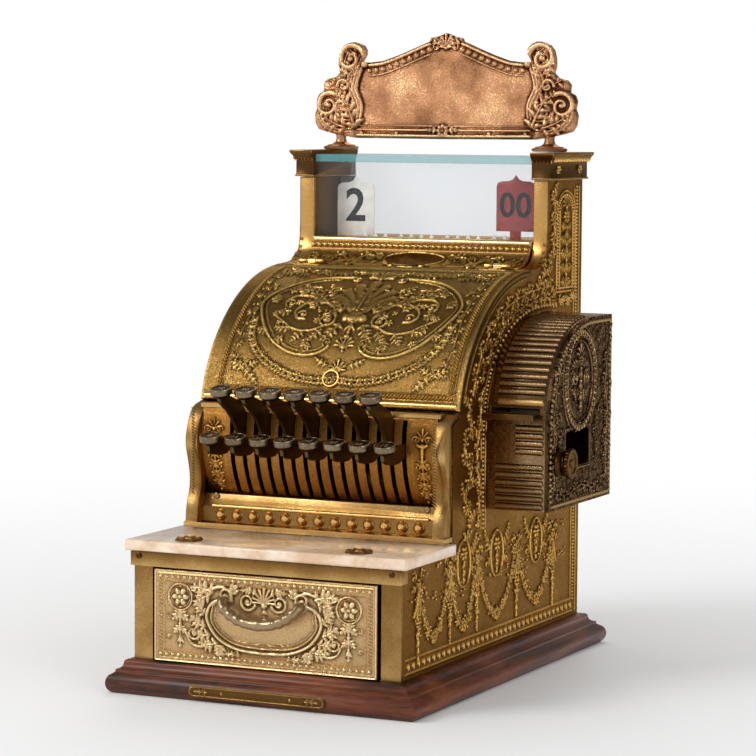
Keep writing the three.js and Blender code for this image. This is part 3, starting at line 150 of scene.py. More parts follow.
def nearest_on(outlines, points):
    """For each point, the closest place on any of the closed outlines."""
    best = np.full(len(points), np.inf)
    found = points.copy()
    for outline in outlines:
        for a, b in zip(outline, np.roll(outline, -1, axis=0)):
            run = b - a
            t = np.clip(((points - a) @ run) / max(run @ run, 1e-12), 0, 1)
            q = a + t[:, None] * run
            d = ((points - q) ** 2).sum(1)
            closer = d < best
            best[closer], found[closer] = d[closer], q[closer]
    return found


LID_CURVE = bezier((LID_FRONT, LID_BOTTOM), (LID_REAR, LID_TOP), [(0, 0), (0.054, 0.426), (0.419, 0.98), (1, 1)], 400)
LID_RUN = lengths(LID_CURVE)
LID_LENGTH = LID_RUN[-1]
LID_AHEAD = np.gradient(LID_CURVE, LID_RUN, axis=0)
POST_FOOT = (LID_REAR + 2 * SEAT, LID_TOP)
POST_FRONT, POST_STRAIGHT, POST_TOP = 292.5, 366.0, 407.1
POST_CURVE = bezier(POST_FOOT, (POST_FRONT, POST_STRAIGHT), [(0, 0), (0.748, 0.018), (1, 0.154), (1, 1)], 20)


# ---------------------------------------------------------------- ornament worked into a face

class Relief:
    """Heights in millimetres over a flat or curved face, raised by strokes and domes."""

    def __init__(self, low, high, step):
        self.u = np.linspace(low[0], high[0], round((high[0] - low[0]) / step) + 1)
        self.v = np.linspace(low[1], high[1], round((high[1] - low[1]) / step) + 1)
        self.h = np.zeros((len(self.v), len(self.u)))
        self.ground = 0.5

    def dome(self, u, v, radius, height, stretch=1.0, angle=0.0, base=0.0):
        reach = radius * max(stretch, 1)
        rows, cols = (slice(*np.searchsorted(axis, (at - reach, at + reach)))
                      for axis, at in ((self.v, v), (self.u, u)))
        du, dv = self.u[cols] - u, (self.v[rows] - v)[:, None]
        if stretch != 1:
            c, s = math.cos(angle), math.sin(angle)
            d2 = ((du * c + dv * s) / (radius * stretch)) ** 2 + ((dv * c - du * s) / radius) ** 2
        else:
            d2 = (du**2 + dv**2) / radius**2
        patch = self.h[rows, cols]
        raised = base + height * np.sqrt(np.clip(1 - d2, 0, 1))
        np.maximum(patch, np.where(d2 < 1, raised, patch), out=patch)

    def stroke(self, path, width, height):
        """A rounded ridge along a path. Width and height may be lists, spread evenly along it."""
        path = np.asarray(path, float)
        run = lengths(path)
        widths, heights = np.atleast_1d(width) / 2, np.atleast_1d(height)
        count = max(3, int(run[-1] / max(0.28 * widths.min(), 0.22)))
        at = np.linspace(0, run[-1], count)
        share = np.linspace(0, 1, count)
        sizes = (np.interp(share, np.linspace(0, 1, len(values)), values) for values in (widths, heights))
        for place, w, h in zip(walked(path, run, at), *sizes):
            self.dome(*place, w, h)

    def plateau(self, outline, height, edge=0.8):
        """Raises everything within an outline, with a soft edge."""
        uu, vv = np.meshgrid(self.u, self.v)
        lift = np.where(inside(outline, uu, vv), height, 0)
        rounds = max(1, round(edge / (self.u[1] - self.u[0])))
        self.h = np.maximum(self.h, blurred(lift, rounds))

    def spot_dome(self, place, radius, height):
        self.dome(*place, radius, height)

    def wear(self):
        """From 0 in the hollows to 1 on the high places."""
        reach = max(1, round(1.8 / (self.u[1] - self.u[0])))
        return np.clip(self.ground + 0.42 * (self.h - blurred(self.h, reach)) + 0.03 * self.h, 0, 1)


def blurred(field, reach):
    kernel = np.ones(2 * reach + 1) / (2 * reach + 1)
    for _ in range(2):
        padded = np.pad(field, ((reach, reach), (reach, reach)), mode="edge")
        padded = np.apply_along_axis(lambda row: np.convolve(row, kernel, "valid"), 1, padded)
        field = np.apply_along_axis(lambda col: np.convolve(col, kernel, "valid"), 0, padded)
    return field


def toward(root, angle, length):
    a = np.radians(angle)
    return root[0] + length * np.cos(a), root[1] + length * np.sin(a)


def scroll(r, centre, radius, start, turns, width, height):
    """A volute that winds in to a round eye. Negative turns wind clockwise."""
    t = np.linspace(0, 1, max(14, int(26 * abs(turns))))
    path = np.stack(toward(centre, start + 360 * turns * t, radius * (1 - 0.78 * t)), 1)
    r.stroke(path, [width, width * 0.62], [height, height * 0.9])
    r.dome(*centre, radius * 0.27, height * 1.15)


def leaf(r, root, angle, length, width, height, lobes, bend=0.0):
    """A cut acanthus leaf: a bowed rib with curling lobes on both sides."""
    t = np.linspace(0, 1, 12)
    turn = np.radians(angle + bend * t)
    rib = np.cumsum(np.stack([np.cos(turn), np.sin(turn)], 1) * length / 12, axis=0) + root
    r.stroke(rib, [width * 0.5, width * 1.15, width * 0.5], height * 0.5)
    for k in range(lobes):
        share = (k + 0.35) / lobes
        at = rib[min(11, int(share * 12))]
        spread = 56 - 30 * share
        reach = width * (0.55 + 0.6 * math.sin(math.pi * min(1, share + 0.15))) * (1.05 - 0.35 * share)
        for side in (-1, 1):
            a = math.degrees(turn[min(11, int(share * 12))]) + side * spread
            mid = toward(at, a, reach * 0.5)
            tip = toward(mid, a + side * 26, reach * 0.42)
            r.stroke([at, mid, tip], [reach * 0.44, reach * 0.56, reach * 0.3], [height * 0.6, height, height * 0.7])
    r.stroke(rib, [width * 0.3, width * 0.16], [height * 1.25, height * 0.9])
    r.dome(*rib[-1], width * 0.2, height)


def husk(r, root, angle, length, height):
    """A bell flower of three petals that opens away from its root."""
    for side, reach in ((-24, 0.9), (24, 0.9), (0, 1.05)):
        mid = toward(root, angle + side * 0.6, length * 0.5 * reach)
        tip = toward(mid, angle + side * 1.7, length * 0.5 * reach)
        r.stroke([root, mid, tip], [length * 0.16, length * 0.34, length * 0.16],
                 [height * 0.7, height, height * 0.6])
    r.dome(*root, length * 0.17, height * 1.1)


def pendant(r, root, angle, sizes, height):
    """A chain of bell flowers that ends in a bud."""
    at = root
    for size in sizes:
        husk(r, at, angle, size, height)
        at = toward(at, angle, size * 1.12)
    r.dome(*at, sizes[-1] * 0.2, height)


def rosette(r, centre, radius, petals, height):
    for k in range(petals):
        r.dome(*toward(centre, 360 * k / petals, radius * 0.6), radius * 0.3, height, 1.35, TAU * k / petals)
    r.dome(*centre, radius * 0.26, height * 1.35)


def fan(r, root, angle, length, count, spread, height):
    """A palmette: lobes that spread from one root, the middle one longest."""
    for k in range(count):
        share = 2 * k / (count - 1) - 1
        reach = length * (1 - 0.28 * abs(share))
        a = angle + share * spread
        mid = toward(root, a, reach * 0.6)
        tip = toward(mid, a + share * 22, reach * 0.4)
        r.stroke([root, mid, tip], [length * 0.07, length * 0.17, length * 0.2], [height * 0.6, height * 0.9, height])
    r.dome(*root, length * 0.16, height * 1.2)


def garland(r, path, width, height):
    """Overlapping laurel leaves along a path, with a berry at each joint."""
    points, ahead = spaced(path, width * 0.46)
    for k, (p, d) in enumerate(zip(points, ahead)):
        a = math.atan2(d[1], d[0])
        across = width * np.array([-math.sin(a), math.cos(a)])
        for side in (-1, 1):
            r.dome(*(p + across * 0.26 * side), width * 0.17, height * (0.85 + 0.25 * (k % 2)), 2.5, a + side * 0.6)
            if k % 2:
                r.dome(*(p + across * 0.6 * side), width * 0.1, height * 0.8)
        if k % 2:
            r.dome(*p, width * 0.15, height * 1.3)


def berries(r, centre, radius, height):
    for angle in range(0, 360, 60):
        r.dome(*toward(centre, angle, radius * 0.62), radius * 0.3, height)
    r.dome(*centre, radius * 0.3, height * 1.2)


def vine(r, path, pitch, reach, height):
    """A winding stem with leaves on alternate sides and a berry at each joint."""
    path = spline(path)
    r.stroke(path, [reach * 0.14, reach * 0.24, reach * 0.14], height)
    points, ahead = spaced(path, pitch)
    for k, (p, d) in enumerate(zip(points, ahead)):
        way, side = math.degrees(math.atan2(d[1], d[0])), 1 if k % 2 else -1
        leaf(r, p, way + side * 46, reach, reach * 0.42, height, 3, -side * 26)
        r.dome(*toward(p, way - side * 70, reach * 0.42), reach * 0.15, height * 1.2)


def drop(r, u, v, length, height=1.9):
    """A tied cluster that hangs: a rosette, long petals that open downwards, and a chain of buds."""
    rosette(r, (u, v), 4.6, 6, height)
    for spread in (-19, -7, 7, 19):
        mid = toward((u, v - 3), -90 + spread * 0.6, length * 0.24)
        tip = toward(mid, -90 + spread * 1.5, length * 0.2)
        r.stroke([(u, v - 3), mid, tip], [1.3, 3.8, 1.8], [height * 0.7, height * 1.15, height * 0.7])
    berries(r, (u, v - length * 0.55), 5.4, height)
    pendant(r, (u, v - length * 0.64), -90, (7.5, 6.5, 5.5, 4.5), height * 0.9)


def fluted(r, path, width, height):
    """A broad tapering band of three ridges side by side."""
    path = spline(path)
    for shift, share in ((-0.3, 0.8), (0.3, 0.8), (0, 1)):
        r.stroke(offset(path, width * shift), [width * 0.3, width * 0.5, width * 0.34],
                 np.array([0.7, 1, 0.8]) * height * share)


def leaves(r, rows, centre=0.0):
    """Leaves on both sides of an upright line: place, way, length, width, height, lobes and bend of each."""
    for side in (1, -1):
        for u, v, way, length, width, height, lobes, bend in rows:
            leaf(r, (centre + side * u, v), way if side > 0 else 180 - way, length, width, height, lobes, bend * side)


def scrolls(r, rows, centre=0.0):
    """Volutes on both sides of an upright line: place, radius, start, turns, width and height of each."""
    for side in (1, -1):
        for u, v, radius, start, turns, width, height in rows:
            scroll(r, (centre + side * u, v), radius, start if side > 0 else 180 - start, turns * side, width, height)


def paired(r, draw, rows, centre=0.0):
    """Calls draw on both sides of an upright line, with each row's place or path first."""
    for side in (1, -1):
        for place, *rest in rows:
            draw(r, np.array(place, float) * (side, 1) + (centre, 0), *rest)


def ribbon(r, path, width, height):
    """A ridge along a smooth path."""
    r.stroke(spline(path), width, height)


def framed(r, low, high, rows):
    """Rectangles of strokes: inset, width and height of each."""
    for inset, width, height in rows:
        u0, v0, u1, v1 = low[0] + inset, low[1] + inset, high[0] - inset, high[1] - inset
        r.stroke([(u0, v0), (u1, v0), (u1, v1), (u0, v1), (u0, v0)], width, height)


def rounded(low, high, radius, steps):
    """A rectangle's outline with round corners."""
    corners = ((low[0] + radius, low[1] + radius, 180), (high[0] - radius, low[1] + radius, 270),
        (high[0] - radius, high[1] - radius, 0), (low[0] + radius, high[1] - radius, 90))
    return np.vstack([arc((u, v), (radius, radius), start, 90, steps) for u, v, start in corners])


# ---------------------------------------------------------------- meshes

def link(name, mesh):
    obj = bpy.data.objects.new(name, mesh)
    bpy.context.scene.collection.objects.link(obj)
    return obj


def made(name, points, faces, wear):
    mesh = bpy.data.meshes.new(name)
    mesh.from_pydata(metres(points).tolist(), [], faces)
    store(mesh, worn=wear)
    return mesh


@contextlib.contextmanager
def edited(mesh):
    """The mesh opened for changes, which it keeps afterwards."""
    bm = bmesh.new()
    bm.from_mesh(mesh)
    yield bm
    bm.to_mesh(mesh)
    bm.free()


def outward(mesh):
    with edited(mesh) as bm:
        bmesh.ops.recalc_face_normals(bm, faces=bm.faces)
    return mesh


def rounded_edges(bm, edges, radius, segments=2):
    bmesh.ops.bevel(bm, geom=edges, offset=radius * MM, offset_type="OFFSET", segments=segments, profile=0.5,
        affect="EDGES", clamp_overlap=True)


def cells(number):
    """The corners of every cell in a grid of point numbers."""
    return np.stack([number[:-1, :-1], number[:-1, 1:], number[1:, 1:], number[1:, :-1]], -1)


def curved_sheet(name, relief, place, depth):
    """A closed sheet: the worked face in full, and a plain back of one strip to each row."""
    uu, vv = np.meshgrid(relief.u, relief.v)
    rows, cols = relief.h.shape
    front = place(uu.ravel(), vv.ravel(), relief.h.ravel())
    back = place(np.tile(relief.u[[-1, 0]], rows), np.repeat(relief.v, 2), np.full(rows * 2, -depth))
    number = np.arange(rows * cols).reshape(rows, cols)
    rings = np.column_stack([number, rows * cols + np.arange(2 * rows).reshape(rows, 2), number[:, 0]])
    quads = cells(rings).reshape(-1, 4).tolist() + [rings[0, -2::-1].tolist(), rings[-1, :-1].tolist()]
    wear = np.concatenate([relief.wear().ravel(), np.full(rows * 2, 0.45)])
    mesh = made(name, np.vstack([front, back]), quads, wear)
    return outward(mesh)


def cast_plate(name, relief, outlines, place, depth):
    """A flat closed plate trimmed to outlines: the first is its edge, the others are holes."""
    outlines = [np.array(o, float) for o in outlines]
    uu, vv = np.meshgrid(relief.u, relief.v)
    mid_u, mid_v = (uu[1:, 1:] + uu[:-1, :-1]) / 2, (vv[1:, 1:] + vv[:-1, :-1]) / 2
    kept, *cut_away = (inside(outline, mid_u, mid_v) for outline in outlines)
    for hole in cut_away:
        kept &= ~hole
    number = np.arange(uu.size).reshape(uu.shape)
    quads = cells(number)[kept]
    edges = np.concatenate([quads[:, [k, (k + 1) % 4]] for k in range(4)])
    key = np.sort(edges, 1) @ [uu.size, 1]
    _, where, count = np.unique(key, return_index=True, return_counts=True)
    rim = edges[where[count == 1]]
    rim_points = np.unique(rim)
    spots = np.stack([uu.ravel(), vv.ravel()], 1)
    heights, wear = relief.h.ravel().copy(), relief.wear().ravel()
    spots[rim_points] = nearest_on(outlines, spots[rim_points])
    used = np.unique(quads)
    index = np.full(uu.size, -1)
    index[used] = np.arange(len(used))
    back_index = np.full(uu.size, -1)
    back_index[rim_points] = len(used) + np.arange(len(rim_points))
    front = place(spots[used, 0], spots[used, 1], heights[used])
    back = place(spots[rim_points, 0], spots[rim_points, 1], np.full(len(rim_points), -depth))
    faces = index[quads].tolist()
    faces += np.stack([index[rim[:, 1]], index[rim[:, 0]], back_index[rim[:, 0]], back_index[rim[:, 1]]], 1).tolist()
    bm = bmesh.new()
    corners = [bm.verts.new(p) for p in back]
    local = {int(b): k for k, b in enumerate(back_index[rim_points])}
    lines = [bm.edges.new((corners[local[int(back_index[a])]], corners[local[int(back_index[b])]])) for a, b in rim]
    bm.verts.index_update()
    filled = bmesh.ops.triangle_fill(bm, use_beauty=False, use_dissolve=False, edges=lines)["geom"]
    faces += [[len(used) + v.index for v in f.verts] for f in filled if isinstance(f, bmesh.types.BMFace)]
    bm.free()
    mesh = made(name, np.vstack([front, back]), faces, np.concatenate([wear[used], np.full(len(rim_points), 0.5)]))
    return outward(mesh)


def turned(profile, sides):
    """A closed turned solid about Z from a profile of radius and height that starts and ends on the axis."""
    angles = np.linspace(0, TAU, sides, endpoint=False)
    points, rings = [], []
    for radius, height in profile:
        spots = [(radius * math.cos(a), radius * math.sin(a), height) for a in (angles if radius > 0 else angles[:1])]
        rings.append([len(points) + k % len(spots) for k in range(sides + 1)])
        points += spots
    corners = [(a[k], a[k + 1], b[k + 1], b[k]) for a, b in zip(rings, rings[1:]) for k in range(sides)]
    faces = [list(dict.fromkeys(face)) for face in corners]
    return np.array(points), [face for face in faces if len(face) > 2]


def skinned(points, around):
    """Closes rings of points, all of one count, into a solid."""
    last = len(points) - around
    faces = [[b + j, b + (j + 1) % around, b + around + (j + 1) % around, b + around + j]
        for b in range(0, last, around) for j in range(around)]
    return np.array(points), faces + [list(range(around))[::-1], list(range(last, last + around))]


def extruded(outline, low, high, place):
    """A closed outline given thickness; place maps (u, v, w) to x, y, z."""
    outline = np.asarray(outline, float)
    count = len(outline)
    return skinned(np.vstack([place(*outline.T, np.full(count, w)) for w in (low, high)]), count)


def along_x(y, z, x):
    return np.stack([x, y, z], 1)


def moved(points, spot=(0, 0, 0), turn=None):
    points = np.asarray(points, float)
    if turn is not None:
        points = points @ np.array(turn.to_3x3()).T
    return points + np.array(spot, float)


def tube(path, radii, sides):
    """A closed round bar along a path, with its own radius at each point."""
    path = np.asarray(path, float)
    ahead = np.gradient(path, axis=0)
    ahead /= np.linalg.norm(ahead, axis=1)[:, None]
    side = np.cross(ahead, [0, 0.6, 0.8])
    side /= np.linalg.norm(side, axis=1)[:, None]
    up = np.cross(side, ahead)
    angles = np.linspace(0, TAU, sides, endpoint=False)
    return skinned([p + r * (math.cos(a) * s + math.sin(a) * u)
        for p, s, u, r in zip(path, side, up, radii) for a in angles], sides)


def joined_mesh(name, parts, wear=0.55):
    """One mesh from several closed (points, faces) parts."""
    faces, worn, first = [], [], 0
    for points, corners, *given in parts:
        faces += [[first + k for k in face] for face in corners]
        worn.append(given[0] if given else np.full(len(points), wear))
        first += len(points)
    mesh = made(name, np.vstack([part[0] for part in parts]), faces, np.concatenate(worn))
    return outward(mesh)


def settle(obj, material, body, stands_for=(), sharp=34):
    """Gives a finished piece its material, shading and body, and hides the nodes it stands for."""
    mesh = obj.data
    mesh.materials.clear()
    mesh.materials.append(material)
    mesh.shade_smooth()
    mesh.set_sharp_from_angle(angle=math.radians(sharp))
    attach(obj, body)
    if stands_for:
        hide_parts(*stands_for)
    return obj


def dressed(node, metal, bevel, name, sharp=34, wear=0.5):
    """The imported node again, with its edges rounded and worn bright, in place of the plain one."""
    mesh = NODES[node].data.copy()
    with edited(mesh) as bm:
        bmesh.ops.remove_doubles(bm, verts=bm.verts, dist=1e-6)
        bmesh.ops.dissolve_limit(bm, angle_limit=math.radians(1.5), verts=bm.verts, edges=bm.edges)
        bmesh.ops.recalc_face_normals(bm, faces=bm.faces)
        if bevel:
            rounded_edges(bm, [e for e in bm.edges if e.is_manifold and abs(e.calc_face_angle(0)) > math.radians(28)],
                bevel)
        layer = bm.verts.layers.float.new("worn")
        for v in bm.verts:
            angles = [e.calc_face_angle_signed(0) for e in v.link_edges if e.is_manifold] if bevel else []
            v[layer] = min(1, wear + 1.4 * max(0, sum(angles) / max(1, len(angles)) - 0.2))
    return settle(link(name, mesh), finish(metal), BODY_OF[node], (node,), sharp)


def outlines_at(node, axis, level):
    """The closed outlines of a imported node's flat face at one level of an axis, the widest first."""
    mesh = NODES[node].data
    points = np.array([v.co for v in mesh.vertices]) / MM - [0, FRONT, 0]
    flat = [tuple(p) for p in np.delete(points, axis, 1).round(2).tolist()]
    on = np.abs(points[:, axis] - level) < 0.03
    ahead = {}
    for polygon in mesh.polygons:
        corners = list(polygon.vertices)
        if on[corners].all():
            for a, b in zip(corners, corners[1:] + corners[:1]):
                if flat[a] in ahead.get(flat[b], ()):
                    ahead[flat[b]].remove(flat[a])
                else:
                    ahead.setdefault(flat[a], []).append(flat[b])
    loops = []
    while any(ahead.values()):
        start = at = next(k for k, v in ahead.items() if v)
        loop = []
        while ahead.get(at):
            loop.append(at)
            at = ahead[at].pop()
            if at == start:
                break
        loops.append(np.array(loop))
    return sorted(loops, key=lambda loop: -np.prod(np.ptp(loop, axis=0)))


def profile_face(node):
    """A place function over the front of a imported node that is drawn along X: u is x and v the height."""
    outline = outlines_at(node, 0, place_of(node)[1][0])[0]
    edges = [(*a, *b) for a, b in zip(outline, np.roll(outline, -1, axis=0))]
    levels = np.linspace(outline[:, 1].min() + 0.05, outline[:, 1].max() - 0.05, 120)
    depths = np.array([min(y0 + (y1 - y0) * (level - z0) / (z1 - z0) for y0, z0, y1, z1 in edges
        if (z0 > level) != (z1 > level)) for level in levels])
    slope = np.gradient(np.convolve(np.pad(depths, 2, mode="edge"), np.ones(5) / 5, "valid"), levels)

    def face(u, v, h):
        depth, lean = np.interp(v, levels, depths), np.interp(v, levels, slope)
        size = np.sqrt(1 + lean**2)
        return along_x(depth - h / size, v + h * lean / size, u)
    return face


def seats(place, path, pitch, lift=0.0, size=1.0):
    """Evenly spaced points on a face for small trim, each with the way it faces and the way it lies."""
    at, ahead = spaced(path, pitch)
    return seats_at(place, at, ahead, lift, size)


def seats_at(place, at, ahead, lift=0.0, size=1.0):
    at, ahead = np.asarray(at, float), np.asarray(ahead, float) + np.zeros((len(at), 2))
    ahead *= 0.2 / np.linalg.norm(ahead, axis=1)[:, None]
    flat = np.full(len(at), float(lift))
    spots = place(*at.T, flat)
    return spots, place(*at.T, flat + 1) - spots, place(*(at + ahead).T, flat) - spots, np.full(len(at), float(size))


def strewn(place, path, width, count, seed=1, lift=0.5, smallest=0.5):
    """Seats for small berries strewn about a path, further from it near its middle."""
    path, dice = np.asarray(path, float), np.random.default_rng(seed)
    run, share = lengths(path), dice.random(count)
    at = walked(path, run, share * run[-1])
    at += dice.normal(0, width * 0.3, (count, 2)) * (0.45 + 0.55 * np.sin(np.pi * share))[:, None]
    spots, facing, along, _ = seats_at(place, at, (1, 0), lift)
    return spots, facing, along, dice.uniform(smallest, 1.1, count)


def gathered(*rows):
    return tuple(np.concatenate(column) for column in zip(*rows))


def wired(tree, kind, feeds=(), out=0, **settings):
    """Adds a node, feeds its inputs with sockets or plain values, and gives one of its outputs."""
    node = tree.nodes.new(kind)
    for key, value in settings.items():
        setattr(node, key, value)
    for key, value in dict(feeds).items():
        if hasattr(value, "is_output"):
            tree.links.new(value, node.inputs[key])
        else:
            node.inputs[key].default_value = value
    return node.outputs[out] if node.outputs else node


def ramped(tree, source, *stops):
    """A colour ramp, its marks given in order."""
    colour = wired(tree, "ShaderNodeValToRGB", {"Fac": source})
    marks = colour.node.color_ramp.elements
    while len(marks) < len(stops):
        marks.new(0.5)
    for mark, (at, tone) in zip(marks, stops):
        mark.position, mark.color = at, (*tone, 1)
    return colour


def stud_tree():
    """Sets one small cast shape on every point of a mesh, turned to stand out of the face there."""
    tree = bpy.data.node_groups.new("Trim Studs", "GeometryNodeTree")
    for name, kind in (("Geometry", "Geometry"), ("Shape", "Object"), ("Stud Size", "Float"), ("Finish", "Material")):
        tree.interface.new_socket(name, in_out="INPUT", socket_type="NodeSocket" + kind)
    tree.interface.new_socket("Geometry", in_out="OUTPUT", socket_type="NodeSocketGeometry")
    given = tree.nodes.new("NodeGroupInput").outputs

    def attribute(name, kind):
        return wired(tree, "GeometryNodeInputNamedAttribute", {"Name": name}, "Attribute", data_type=kind)

    shape = wired(tree, "GeometryNodeObjectInfo", {"Object": given["Shape"]}, "Geometry")
    align = "FunctionNodeAlignRotationToVector"
    stand = wired(tree, align, {"Vector": attribute("facing", "FLOAT_VECTOR")}, axis="Z")
    lie = wired(tree, align, {"Rotation": stand, "Vector": attribute("along", "FLOAT_VECTOR")}, axis="X",
        pivot_axis="Z")
    scale = wired(tree, "ShaderNodeMath", {0: attribute("size", "FLOAT"), 1: given["Stud Size"]},
                  operation="MULTIPLY")
    spread = wired(tree, "GeometryNodeInstanceOnPoints",
        {"Points": given["Geometry"], "Instance": shape, "Rotation": lie, "Scale": scale})
    real = wired(tree, "GeometryNodeRealizeInstances", {"Geometry": spread})
    skin = wired(tree, "GeometryNodeSetMaterial", {"Geometry": real, "Material": given["Finish"]})
    wired(tree, "NodeGroupOutput", {"Geometry": skin})
    return tree


def store(mesh, **columns):
    """Keeps a number or a vector for every point of a mesh."""
    for name, values in columns.items():
        kind, field = ("FLOAT", "value") if np.ndim(values) == 1 else ("FLOAT_VECTOR", "vector")
        mesh.attributes.new(name, kind, "POINT").data.foreach_set(field, np.asarray(values, np.float32).ravel())


def studded(name, shape, rows, metal="post_brass", body="cabinet", worn_range=(0.4, 0.8)):
    """One piece made of many small cast shapes, one at each seat."""
    spots, facing, along, sizes = rows
    mesh = bpy.data.meshes.new(name)
    mesh.from_pydata(metres(spots).tolist(), [], [])
    store(mesh, facing=facing, along=along, size=sizes)
    obj = link(name, mesh)
    pattern = bpy.data.meshes.new(name + "_shape")
    points, faces = shape
    pattern.from_pydata((points * MM).tolist(), [], faces)
    heights = points[:, 2]
    store(pattern, worn=np.interp(heights, (heights.min(), heights.max()), worn_range))
    outward(pattern)
    source = link(name + "_shape", pattern)
    tree = bpy.data.node_groups.get("Trim Studs") or stud_tree()
    modifier = obj.modifiers.new("Studs", "NODES")
    modifier.node_group = tree
    inputs = {item.name: item.identifier for item in tree.interface.items_tree
        if item.item_type == "SOCKET" and item.in_out == "INPUT"}
    for key, value in (("Shape", source), ("Stud Size", 1.0), ("Finish", finish(metal))):
        modifier[inputs[key]] = value
    bpy.context.view_layer.update()
    result = bpy.data.meshes.new_from_object(obj.evaluated_get(bpy.context.evaluated_depsgraph_get()))
    obj.modifiers.clear()
    obj.data = result
    bpy.data.objects.remove(source)
    for leftover in ("facing", "along", "size"):
        if leftover in result.attributes:
            result.attributes.remove(result.attributes[leftover])
    return settle(obj, finish(metal), body)


# Small cast shapes that the trim repeats, standing on Z = 0 and lying along X

def bead_shape(radius, sides=8):
    a = np.radians([0, 35, 65])
    return turned([(0, -0.4)] + [(radius * math.cos(t), radius * 0.9 * math.sin(t)) for t in a] + [(0, radius * 0.9)],
        sides)


def strand_shape(length, width, height, twist):
    """One slanting strand of a rope."""
    a = math.radians(twist)
    points = []
    for s, w in ((-0.5, 0.45), (-0.25, 0.9), (0.25, 0.9), (0.5, 0.45)):
        x, y = length * s * math.cos(a), length * s * math.sin(a)
        for side, lift in ((-1, 0), (-0.6, 0.75), (0, 1), (0.6, 0.75), (1, 0)):
            points.append((x - side * w * width / 2 * math.sin(a), y + side * w * width / 2 * math.cos(a),
                lift * height * (0.6 + 0.4 * w)))
        points.append((x, y, -0.4))
    return skinned(points, 6)


def leaf_shape(length, width, height):
    """A pointed leaf with a raised rib, its tip towards +X."""
    points = []
    for s, w, h in ((0.0, 0.25, 0.6), (0.3, 0.5, 0.9), (0.65, 0.4, 1.0), (1.0, 0.0, 0.55)):
        for side, lift in ((-1, -0.3), (-0.95, 0.45 * h * height), (0, h * height), (0.95, 0.45 * h * height),
                           (1, -0.3)):
            points.append((s * length, side * w * width, lift))
    return skinned(points, 5)


def screw_shape(radius, height):
    """A slotted screw head."""
    angles = np.radians(np.arange(0, 360, 30) + 15)
    points = [(radius * share * math.cos(a), radius * share * math.sin(a), level)
        for share, level in ((1, -0.4), (1, height * 0.5), (0.72, height)) for a in angles]
    half, side = radius * 0.6, radius * 0.13
    points += [(x, y, level) for level in (height, height * 0.45)
        for x, y in ((-half, -side), (half, -side), (half, side), (-half, side))]
    faces = [list(range(12))[::-1]]
    for row in (0, 12):
        faces += [[row + k, row + (k + 1) % 12, row + 12 + (k + 1) % 12, row + 12 + k] for k in range(12)]
    faces += [[36, 37, 35, 34, 33, 32, 31, 30], [37, 38, 24, 35], [38, 39, 29, 28, 27, 26, 25, 24], [39, 36, 30, 29]]
    faces += [[36 + k, 40 + k, 40 + (k + 1) % 4, 36 + (k + 1) % 4] for k in range(4)]
    return np.array(points), faces + [[40, 41, 42, 43]]


def bar_shape(length, radius, sides):
    """A half-round rib along X with rounded ends."""
    points = []
    for x, s in ((-0.5 * length, 0.3), (-0.5 * length + radius * 0.6, 1), (0.5 * length - radius * 0.6, 1),
            (0.5 * length, 0.3)):
        points += [(x, radius * s * math.cos(a), radius * s * math.sin(a)) for a in np.linspace(0, math.pi, sides)]
        points.append((x, 0, -0.5))
    return skinned(points, sides + 1)


def flower_shape(radius, petals, height):
    """A round rosette with petals and a button."""
    sides, points = petals * 4, []
    for reach, lift, wave in ((1.0, -0.4, 0.0), (1.0, 0.35, 0.10), (0.82, 0.85, 0.12), (0.5, 0.62, 0.05),
            (0.34, 0.4, 0.0), (0.3, 0.85, 0.0), (0.16, 1.1, 0.0)):
        for a in (TAU * k / sides for k in range(sides)):
            swell = wave * math.cos(petals * a)
            out = radius * reach * (1 + swell)
            points.append((out * math.cos(a), out * math.sin(a), height * lift * (1 + 1.4 * swell)))
    return skinned(points, sides)


def numeral(text, height, depth, bold=0.0):
    """A plain number as a closed solid in the XY plane, centred, facing +Z."""
    curve = bpy.data.curves.new("numeral", "FONT")
    curve.body, curve.size, curve.extrude, curve.resolution_u = text, height, depth / 2, 3
    curve.offset = bold * height
    curve.align_x = curve.align_y = "CENTER"
    obj = link("numeral", curve)
    mesh = bpy.data.meshes.new_from_object(obj.evaluated_get(bpy.context.evaluated_depsgraph_get()))
    points = np.array([v.co for v in mesh.vertices])
    faces = [list(p.vertices) for p in mesh.polygons]
    bpy.data.objects.remove(obj)
    return points, faces


# ---------------------------------------------------------------- finishes

def rgb(red, green, blue):
    """Screen colour, 0 to 255, as the linear colour that Blender works in."""
    return tuple((c / 255 / 12.92) if c <= 10 else ((c / 255 + 0.055) / 1.055) ** 2.4 for c in (red, green, blue))


